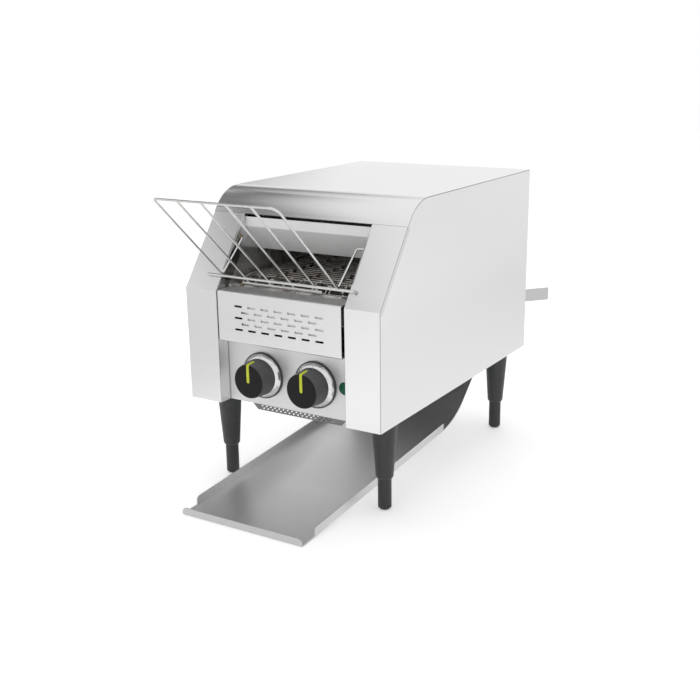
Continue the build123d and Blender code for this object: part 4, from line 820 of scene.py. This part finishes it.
def turned(profile, origin, axis, sides=20):
    """Points and faces of a profile of (radius, height) rows turned round a level axis.

    A point is the origin plus height along the axis, plus radius times (cosine of one
    square direction + sine of the other). Both ends of the profile lie on the axis.
    """
    profile, origin, axis = (np.asarray(part, float) for part in (profile, origin, axis))
    first = unit(np.cross(axis, [0.0, 0.0, 1.0]))
    angle = full_turn(sides)[:, None]
    ring = first * np.cos(angle) + np.cross(axis, first) * np.sin(angle)
    rows = profile[1:-1, :, None, None]
    points = origin + rows[:, 1] * axis + rows[:, 0] * ring
    poles = origin + profile[[0, -1], 1:] * axis
    return np.vstack([points.reshape(-1, 3), poles]), *closed_faces(len(rows), sides)


wall_face = corners("chamber_wall_left")[1][0]
screws = [
    turned(SCREW_RADIUS * SCREW_PROFILE, (side * wall_face, front_y + SCREW_BACK, SCREW_HEIGHT), (side, 0, 0))
    for side in (1, -1)
]
closed_piece("chamber_screws", joined(screws), shaft_steel)

# %% Rubber end of the rack's rod
ROD_RADIUS = 0.00175
ROD_GAP = 0.0003
ROD_UP = 0.02155
ROD_RIGHT = 0.105
CAP_PAST_ROD = 0.0004
CAP_PROFILE = [
    (0, -0.0030), (0.0018, -0.0030), (0.0022, -0.0028), (0.0023, -0.0024), (0.0023, -0.0007),
    (0.0020, -0.0002), (0.0012, 0.0), (0, 0.0),
]

rod_off = ROD_RADIUS + ROD_GAP
rod_y = front_y + ROD_UP * math.sin(SLOPE) - rod_off * math.cos(SLOPE)
rod_z = knee_height + ROD_UP * math.cos(SLOPE) + rod_off * math.sin(SLOPE)
end_cap = turned(CAP_PROFILE, (ROD_RIGHT + CAP_PAST_ROD, rod_y, rod_z), (1, 0, 0))
closed_piece("rod_end_cap", end_cap, end_rubber, "rack")
print("rod at", round(rod_y, 4), round(rod_z, 4))

# %% [markdown]
# ## Plate behind the vents
#
# Most of the slots show a bright steel plate right behind them. Only the lowest row and
# the first slots of the other rows look into the dark. A bright colour in the slots
# would not move with the view, so the plate is a real sheet: flat in the middle, with
# its upper and lower edges rolled back.

# %% Vent backing
PLATE_LEFT, PLATE_RIGHT = -0.0563, 0.0780
PLATE_LOW, PLATE_HIGH = 0.2246, 0.2585
PLATE_FLAT = 0.92
PLATE_ROLL = 0.003
PLATE_BEHIND = 0.0007
PLATE_THICK = 0.0008
PANEL_THICK = 0.001

slot_steel = heated("slot_steel", grey(0.80), (0.76, 0.76, 0.75), 0.5, metal=0.35)
plate_front = corners("vent_panel")[0][1] + PANEL_THICK + PLATE_BEHIND


def backing_plate(columns=12, rows=16):
    """Grid over the plate: x even, z even, and y rolls back near both edges.

    The roll is its depth times the square of how far z is past the flat share, where
    the edge counts as 1.
    """
    x, s = np.meshgrid(np.linspace(PLATE_LEFT, PLATE_RIGHT, columns), np.linspace(-1, 1, rows))
    z = (PLATE_LOW + PLATE_HIGH) / 2 + s * (PLATE_HIGH - PLATE_LOW) / 2
    y = plate_front + PLATE_ROLL * np.clip((np.abs(s) - PLATE_FLAT) / (1 - PLATE_FLAT), 0, 1) ** 2
    points = np.stack([x, y, z], axis=-1).reshape(-1, 3)
    i, j = np.meshgrid(np.arange(rows - 1), np.arange(columns - 1), indexing="ij")
    here = i * columns + j
    return points, np.stack([here, here + 1, here + columns + 1, here + columns], axis=-1).reshape(-1, 4)


plate_points, plate_faces = backing_plate()
plate = piece("vent_backing", plate_points, plate_faces.tolist(), slot_steel, "casing")
thicken = plate.modifiers.new("sheet", "SOLIDIFY")
thicken.thickness = PLATE_THICK
thicken.offset = -1.0

# %% [markdown]
# ## Knobs, bezels and pointers
#
# A knob stands in a chromed bezel, a ring whose face slopes up toward the knob like the
# side of a low cone. It sits on a black rim three millimetres high. Both are turned from
# their profiles. The knob is turned too, but its radius also dips with the angle, which
# makes the grooves of the grip; cutting them with booleans would leave ragged edges. It
# is widest just in front of the bezel, and a narrower neck goes down into it. The lime
# pointer is a flat bar that bends over the knob's edge.

# %% Turn the bezels
BEZEL_EDGE, BEZEL_EDGE_HEIGHT = 0.0289, 0.0034
BEZEL_LIP, BEZEL_LIP_HEIGHT = 0.0236, 0.0080
BEZEL_SIDES = 96
OUTWARD = (0.0, -1.0, 0.0)
BEZEL_PROFILE = [
    (0, 0.0012), (0.0238, 0.0012), (0.0238, 0.0028), (0.0290, 0.0028), (BEZEL_EDGE, BEZEL_EDGE_HEIGHT),
    (BEZEL_LIP, BEZEL_LIP_HEIGHT), (0.0233, BEZEL_LIP_HEIGHT), (0.0232, 0.0076), (0.0232, 0.0022),
    (0, 0.0022),
]
RIM_PROFILE = [
    (0, 0), (0.0303, 0), (0.0303, 0.0024), (0.0302, 0.0028), (0.0299, 0.0030), (0.0292, 0.0030),
    (0.0291, 0.0026), (0.0240, 0.0026), (0.0240, 0.0010), (0, 0.0010),
]

dial_panel = corners("dial_left")[1][1]
rims = []
for side in ("left", "right"):
    center_x, _, center_z = middle(f"dial_{side}")
    foot = (center_x, dial_panel, center_z)
    bezel = turned(BEZEL_PROFILE, foot, OUTWARD, BEZEL_SIDES)
    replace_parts(closed_piece(f"bezel_{side}", bezel, dial_chrome), f"dial_{side}")
    rims.append(turned(RIM_PROFILE, foot, OUTWARD, BEZEL_SIDES))
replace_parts(closed_piece("bezel_rims", joined(rims), rim), "dial_rims")

# %% Turn the knobs
KNOB_GROOVES = 56
GROOVE_DEPTH = 0.00028
STEPS_PER_GROOVE = 6
KNOB_DEPTH = 0.03
KNOB_BODIES = (("left", "mode_knob"), ("right", "speed_knob"))
# radius, height behind the face, and how deep the grooves are there, as a share
KNOB_PROFILE = np.array(
    [
        (0.0188, 0.0, 0), (0.0199, 0.00004, 0), (0.0209, 0.0003, 0), (0.0216, 0.0009, 0),
        (0.0220, 0.0017, 0), (0.0222, 0.0028, 0), (0.02235, 0.0036, 1), (0.0231, 0.0130, 1),
        (0.0238, 0.0210, 1), (0.0240, 0.0236, 1), (0.0240, 0.0240, 0), (0.0237, 0.0245, 0),
        (0.0228, 0.0246, 0), (0.0226, 0.0248, 0), (0.0226, 0.0290, 0), (0.0222, 0.02996, 0),
    ]
)


def grooved_knob(center, face, depth):
    """Points and faces of a knob: radius over height, less grooves that follow the angle.

    A point's radius is the profile's, less the groove depth times half of one minus the
    cosine of the groove count times the angle. The heights are stretched from the depth
    that the profile was drawn for to this one. A point closes the face and the back.
    """
    angle = full_turn(KNOB_GROOVES * STEPS_PER_GROOVE)
    wave = GROOVE_DEPTH * (0.5 - 0.5 * np.cos(KNOB_GROOVES * angle))
    edge, behind, grooved = KNOB_PROFILE.T[..., None]
    radius = edge - grooved * wave
    x, z = center[0] + radius * np.cos(angle), center[2] - radius * np.sin(angle)
    y = np.broadcast_to(face + behind * (depth / KNOB_DEPTH), x.shape)
    points = np.stack([x, y, z], axis=-1).reshape(-1, 3)
    ends = [(center[0], face, center[2]), (center[0], face + depth, center[2])]
    return np.vstack([points, ends]), *closed_faces(len(radius), len(angle))


for side, body in KNOB_BODIES:
    face, back = (corner[1] for corner in corners(f"knob_{side}"))
    grooved = grooved_knob(middle(f"knob_{side}"), face, back - face)
    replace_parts(closed_piece(f"grooved_knob_{side}", grooved, knob, body), f"knob_{side}")

# %% Pointers
POINTER_HALF = 0.0021
POINTER_RAISED = 0.0007
POINTER_STEP = 0.0004
# behind the face and above the middle: down the face, over the edge, along the grip
POINTER_BENDS = ((0.0, -0.0018), (0.0, 0.0205), (0.0010, 0.0218), (0.0030, 0.0222), (0.0140, 0.0231))


def pointer_tube(center, face):
    """A flat bar that lies on the knob, half sunk in it, with round ends.

    The bends are rounded and walked in even steps. The half width at a step is that of
    a half circle near either end: the root of one minus the square of what is missing
    to a full half width, as a share.
    """
    line = rounded([(center[0], face + back, center[2] + up) for back, up in POINTER_BENDS], 3)
    walked = np.concatenate([[0.0], np.cumsum(np.linalg.norm(np.diff(line, axis=0), axis=1))])
    even = np.linspace(0.0, walked[-1], int(walked[-1] / POINTER_STEP))
    line = np.stack([np.interp(even, walked, line[:, axis]) for axis in range(3)], axis=1)
    to_end = np.minimum(even, walked[-1] - even) + 0.02 * POINTER_HALF
    share = np.sqrt(1 - (1 - np.clip(to_end / POINTER_HALF, 0.0, 1.0)) ** 2)
    return tube(line, share[:, None] * [POINTER_RAISED, POINTER_HALF], 16, ALONG_TUBE)


for side, body in KNOB_BODIES:
    bar = pointer_tube(middle(f"knob_{side}"), corners(f"knob_{side}")[0][1])
    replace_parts(closed_piece(f"pointer_{side}", bar, pointer, body), f"knob_pointer_{side}")

# %% [markdown]
# ## Marks on the dials
#
# The chrome rings carry short printed ticks and plain numbers. A number is a text curve
# turned into a mesh, laid on the sloping ring and moved to its angle. An image of the
# scale would blur near by, and these stay sharp. Ink has almost no thickness, so it
# stands a few hundredths of a millimetre off the chrome.

# %% Print the marks
MARK_RADIUS = 0.0256
MARK_HEIGHT = 0.0024
FONT_PER_DIGIT = 1.4
TICK_LENGTH, TICK_WIDTH = 0.0014, 0.00035
INK = 0.00008


def number_mark(text):
    """Points and faces of a text, centred, as flat letters of the marks' height."""
    curve = bpy.data.curves.new("mark", "FONT")
    curve.body = text
    curve.size = MARK_HEIGHT * FONT_PER_DIGIT
    curve.align_x = "CENTER"
    curve.resolution_u = 3
    letters = bpy.data.objects.new("mark", curve)
    flat = bpy.data.meshes.new_from_object(letters)
    points = np.array([v.co for v in flat.vertices], float)
    points[:, 1] -= (points[:, 1].max() + points[:, 1].min()) / 2
    faces = [list(polygon.vertices) for polygon in flat.polygons]
    bpy.data.objects.remove(letters)
    bpy.data.curves.remove(curve)
    bpy.data.meshes.remove(flat)
    return points, faces


def tick_mark():
    """A short bar pointing outward, whose ends are half circles of its width."""
    angle = np.linspace(0, math.pi, 6)
    end = TICK_WIDTH / 2 * np.stack([np.cos(angle), np.sin(angle)], axis=1)
    outline = np.vstack([end + [0, TICK_LENGTH / 2], -end - [0, TICK_LENGTH / 2]])
    return np.column_stack([outline, np.zeros(len(outline))]), [list(range(len(outline)))]


def bezel_height(radius):
    """Height of the bezel's sloping face over the panel, on the line between its edges."""
    share = (BEZEL_EDGE - radius) / (BEZEL_EDGE - BEZEL_LIP)
    return BEZEL_EDGE_HEIGHT + share * (BEZEL_LIP_HEIGHT - BEZEL_EDGE_HEIGHT)


def dial_marks(name, dial, marks):
    """Every mark turned to its clock angle and laid on the ring's sloping face.

    A mark's right and up become the ring's tangent and its outward direction, so that
    numbers stand upright at the top: x = along sine and cosine of the angle, z likewise.
    """
    center_x, _, center_z = middle(dial)
    points, faces, count = [], [], 0
    for angle, (mark, mark_faces) in marks:
        c, s = math.cos(angle), math.sin(angle)
        across, up = mark[:, 0], mark[:, 1] + MARK_RADIUS
        out = dial_panel - bezel_height(np.hypot(across, up)) - INK
        points.append(np.stack([center_x + across * c + up * s, out, center_z - across * s + up * c], axis=1))
        faces += [[index + count for index in face] for face in mark_faces]
        count += len(mark)
    piece(name, np.vstack(points), faces, marking_ink, "casing", smooth=False)


def scale(digits, sweep):
    """Marks of a scale: digits at even angles over the sweep, ticks halfway between."""
    angles = np.linspace(0.0, math.radians(sweep), len(digits))
    numbers = [(angle, number_mark(digit)) for angle, digit in zip(angles, digits)]
    return numbers + [(angle, tick_mark()) for angle in (angles[:-1] + angles[1:]) / 2]


dial_marks("mode_marks", "dial_left", scale("0123", 270.0))
dial_marks("speed_marks", "dial_right", scale("012345", 300.0))

# %% [markdown]
# ## Studio
#
# A white table that runs on for ever, a white surround and one large soft lamp above.
# What the camera and mirrors see of the surround is pure white, while matt surfaces get
# a softer light from it, so that colours come out about as they are written. Several
# lamps could light the front better, but each would leave its own spot in the steel.

# %% Table
TABLE_HALF = 6.0
TABLE_GLOW = 0.38


def studio_sheet(name, points, finish):
    """A flat sheet between four corners that belongs to the studio."""
    mesh = bpy.data.meshes.new(name)
    mesh.from_pydata(points, [], [[0, 1, 2, 3]])
    mesh.materials.append(finish.material)
    made = bpy.data.objects.new(name, mesh)
    scene.collection.objects.link(made)
    print(name, "from", points[0], "to", points[2])
    return made


def level(low, high, height):
    """Corners of a level sheet between two corners at one height."""
    return [(*low, height), (high[0], low[1], height), (*high, height), (low[0], high[1], height)]


table_white = Finish("table_white", roughness=0.6)
table_white.give("Base Color", table_white.mottled(3.0, grey(0.88), grey(0.90)))
table_white.give("Emission Color", grey(1.0))
table_white.give("Emission Strength", table_white.math("MULTIPLY", table_white.seen(), TABLE_GLOW))
studio_sheet("studio_floor", level((-TABLE_HALF, -TABLE_HALF), (TABLE_HALF, TABLE_HALF), 0.0), table_white)

# %% Surround
SURROUND_LIGHT = 0.62
SURROUND_SEEN = 1.0

world = bpy.data.worlds.new("studio_surround")
world.use_nodes = True
scene.world = world
surround = Graph(world.node_tree)
choose = surround.node("ShaderNodeMixShader")
surround.fill(choose.inputs["Fac"], surround.seen())
for place, strength in ((1, SURROUND_LIGHT), (2, SURROUND_SEEN)):
    glow = surround.node("ShaderNodeBackground")
    surround.fill(glow.inputs["Color"], grey(1.0))
    surround.fill(glow.inputs["Strength"], strength)
    surround.fill(choose.inputs[place], glow.outputs[0])
surround.fill(surround.node("ShaderNodeOutputWorld").inputs["Surface"], choose.outputs[0])
print("surround lights with", SURROUND_LIGHT, "and is seen as", SURROUND_SEEN)

# %% Overhead lamp
LAMP_PLACE = np.array([-0.35, 0.25, 2.1])
LAMP_AIM = np.array([0.0, 0.0, 0.2])
LAMP_SIZE = 2.4
LAMP_POWER = 15.0

softbox = bpy.data.lights.new("overhead_softbox", "AREA")
softbox.shape = "RECTANGLE"
softbox.size = softbox.size_y = LAMP_SIZE
softbox.energy = LAMP_POWER
lamp = bpy.data.objects.new("overhead_softbox", softbox)
scene.collection.objects.link(lamp)
lamp_back = unit(LAMP_PLACE - LAMP_AIM)
lamp_side = unit(np.cross([0.0, 1.0, 0.0], lamp_back))
stand(lamp, np.stack([lamp_side, np.cross(lamp_back, lamp_side), lamp_back], axis=1), LAMP_PLACE)
print("lamp at", LAMP_PLACE)

# %% [markdown]
# ## Reflection boards
#
# Bright steel shows what stands round it, and nothing else. Boards that only mirrors can
# see shade the white surround, as the boards and dark corners of a real studio do. Each
# is an evenly glowing sheet, so its brightness in the steel is the one written here. An
# image of a room round it all would do too, but a board is easy to move until it fits.

# %% Boards
ACROSS, AWAY = 0, 1
CEILING = 1.7
MAT_HEIGHT = 0.002


def board(name, points, near, far, axis, start, end):
    """A flat board that only mirrors see, shading from near to far along one axis."""
    sheet = Finish(name, roughness=1.0)
    sheet.give("Specular IOR Level", 0.0)
    sheet.give("Base Color", grey(0.0))
    share = sheet.spread(sheet.split(sheet.places)[axis], 0.0, 1.0, start, end)
    sheet.give("Emission Color", sheet.blend(share, grey(near), grey(far)))
    sheet.give("Emission Strength", 1.0)
    made = studio_sheet(name, points, sheet)
    made.visible_camera = made.visible_diffuse = made.visible_shadow = False
    made.visible_transmission = made.visible_volume_scatter = False


def upright(first, last, low, high):
    """Corners of an upright board between two places on the table."""
    return [(*first, low), (*last, low), (*last, high), (*first, high)]


board("ceiling_board", level((-1.35, -1.2), (0.5, 0.8), CEILING), 0.06, 1.06, ACROSS, -1.12, -0.8)
board("ceiling_back_board", level((-2.4, 0.8), (0.5, 2.4), CEILING), 0.12, 1.08, ACROSS, -1.6, -0.95)
board("side_mat", level((0.22, 0.05), (0.66, 3.0), MAT_HEIGHT), 1.05, 0.88, AWAY, 0.2, 1.2)
board("far_side_mat", level((0.66, 0.05), (2.4, 3.0), MAT_HEIGHT), 1.14, 0.98, AWAY, 0.5, 1.6)
board("front_mat", level((-0.33, -1.8), (0.4, -0.45), MAT_HEIGHT), 1.10, 1.22, ACROSS, -0.33, -0.1)
board("low_left_board", upright((-0.62, 0.2), (-0.62, 0.95), 0.05, 0.5), 0.30, 1.0, AWAY, 0.55, 0.95)
board("left_mat", level((-1.6, -0.9), (-0.33, -0.45), MAT_HEIGHT), 0.86, 1.05, ACROSS, -0.42, -0.33)
board("left_front_mat", level((-1.6, -1.8), (-0.33, -0.9), MAT_HEIGHT), 0.86, 1.18, ACROSS, -0.60, -0.43)

# %% [markdown]
# ## Colours
#
# The render shows colours as they are, without a film look.

# %% Finish
scene.view_settings.view_transform = "Standard"
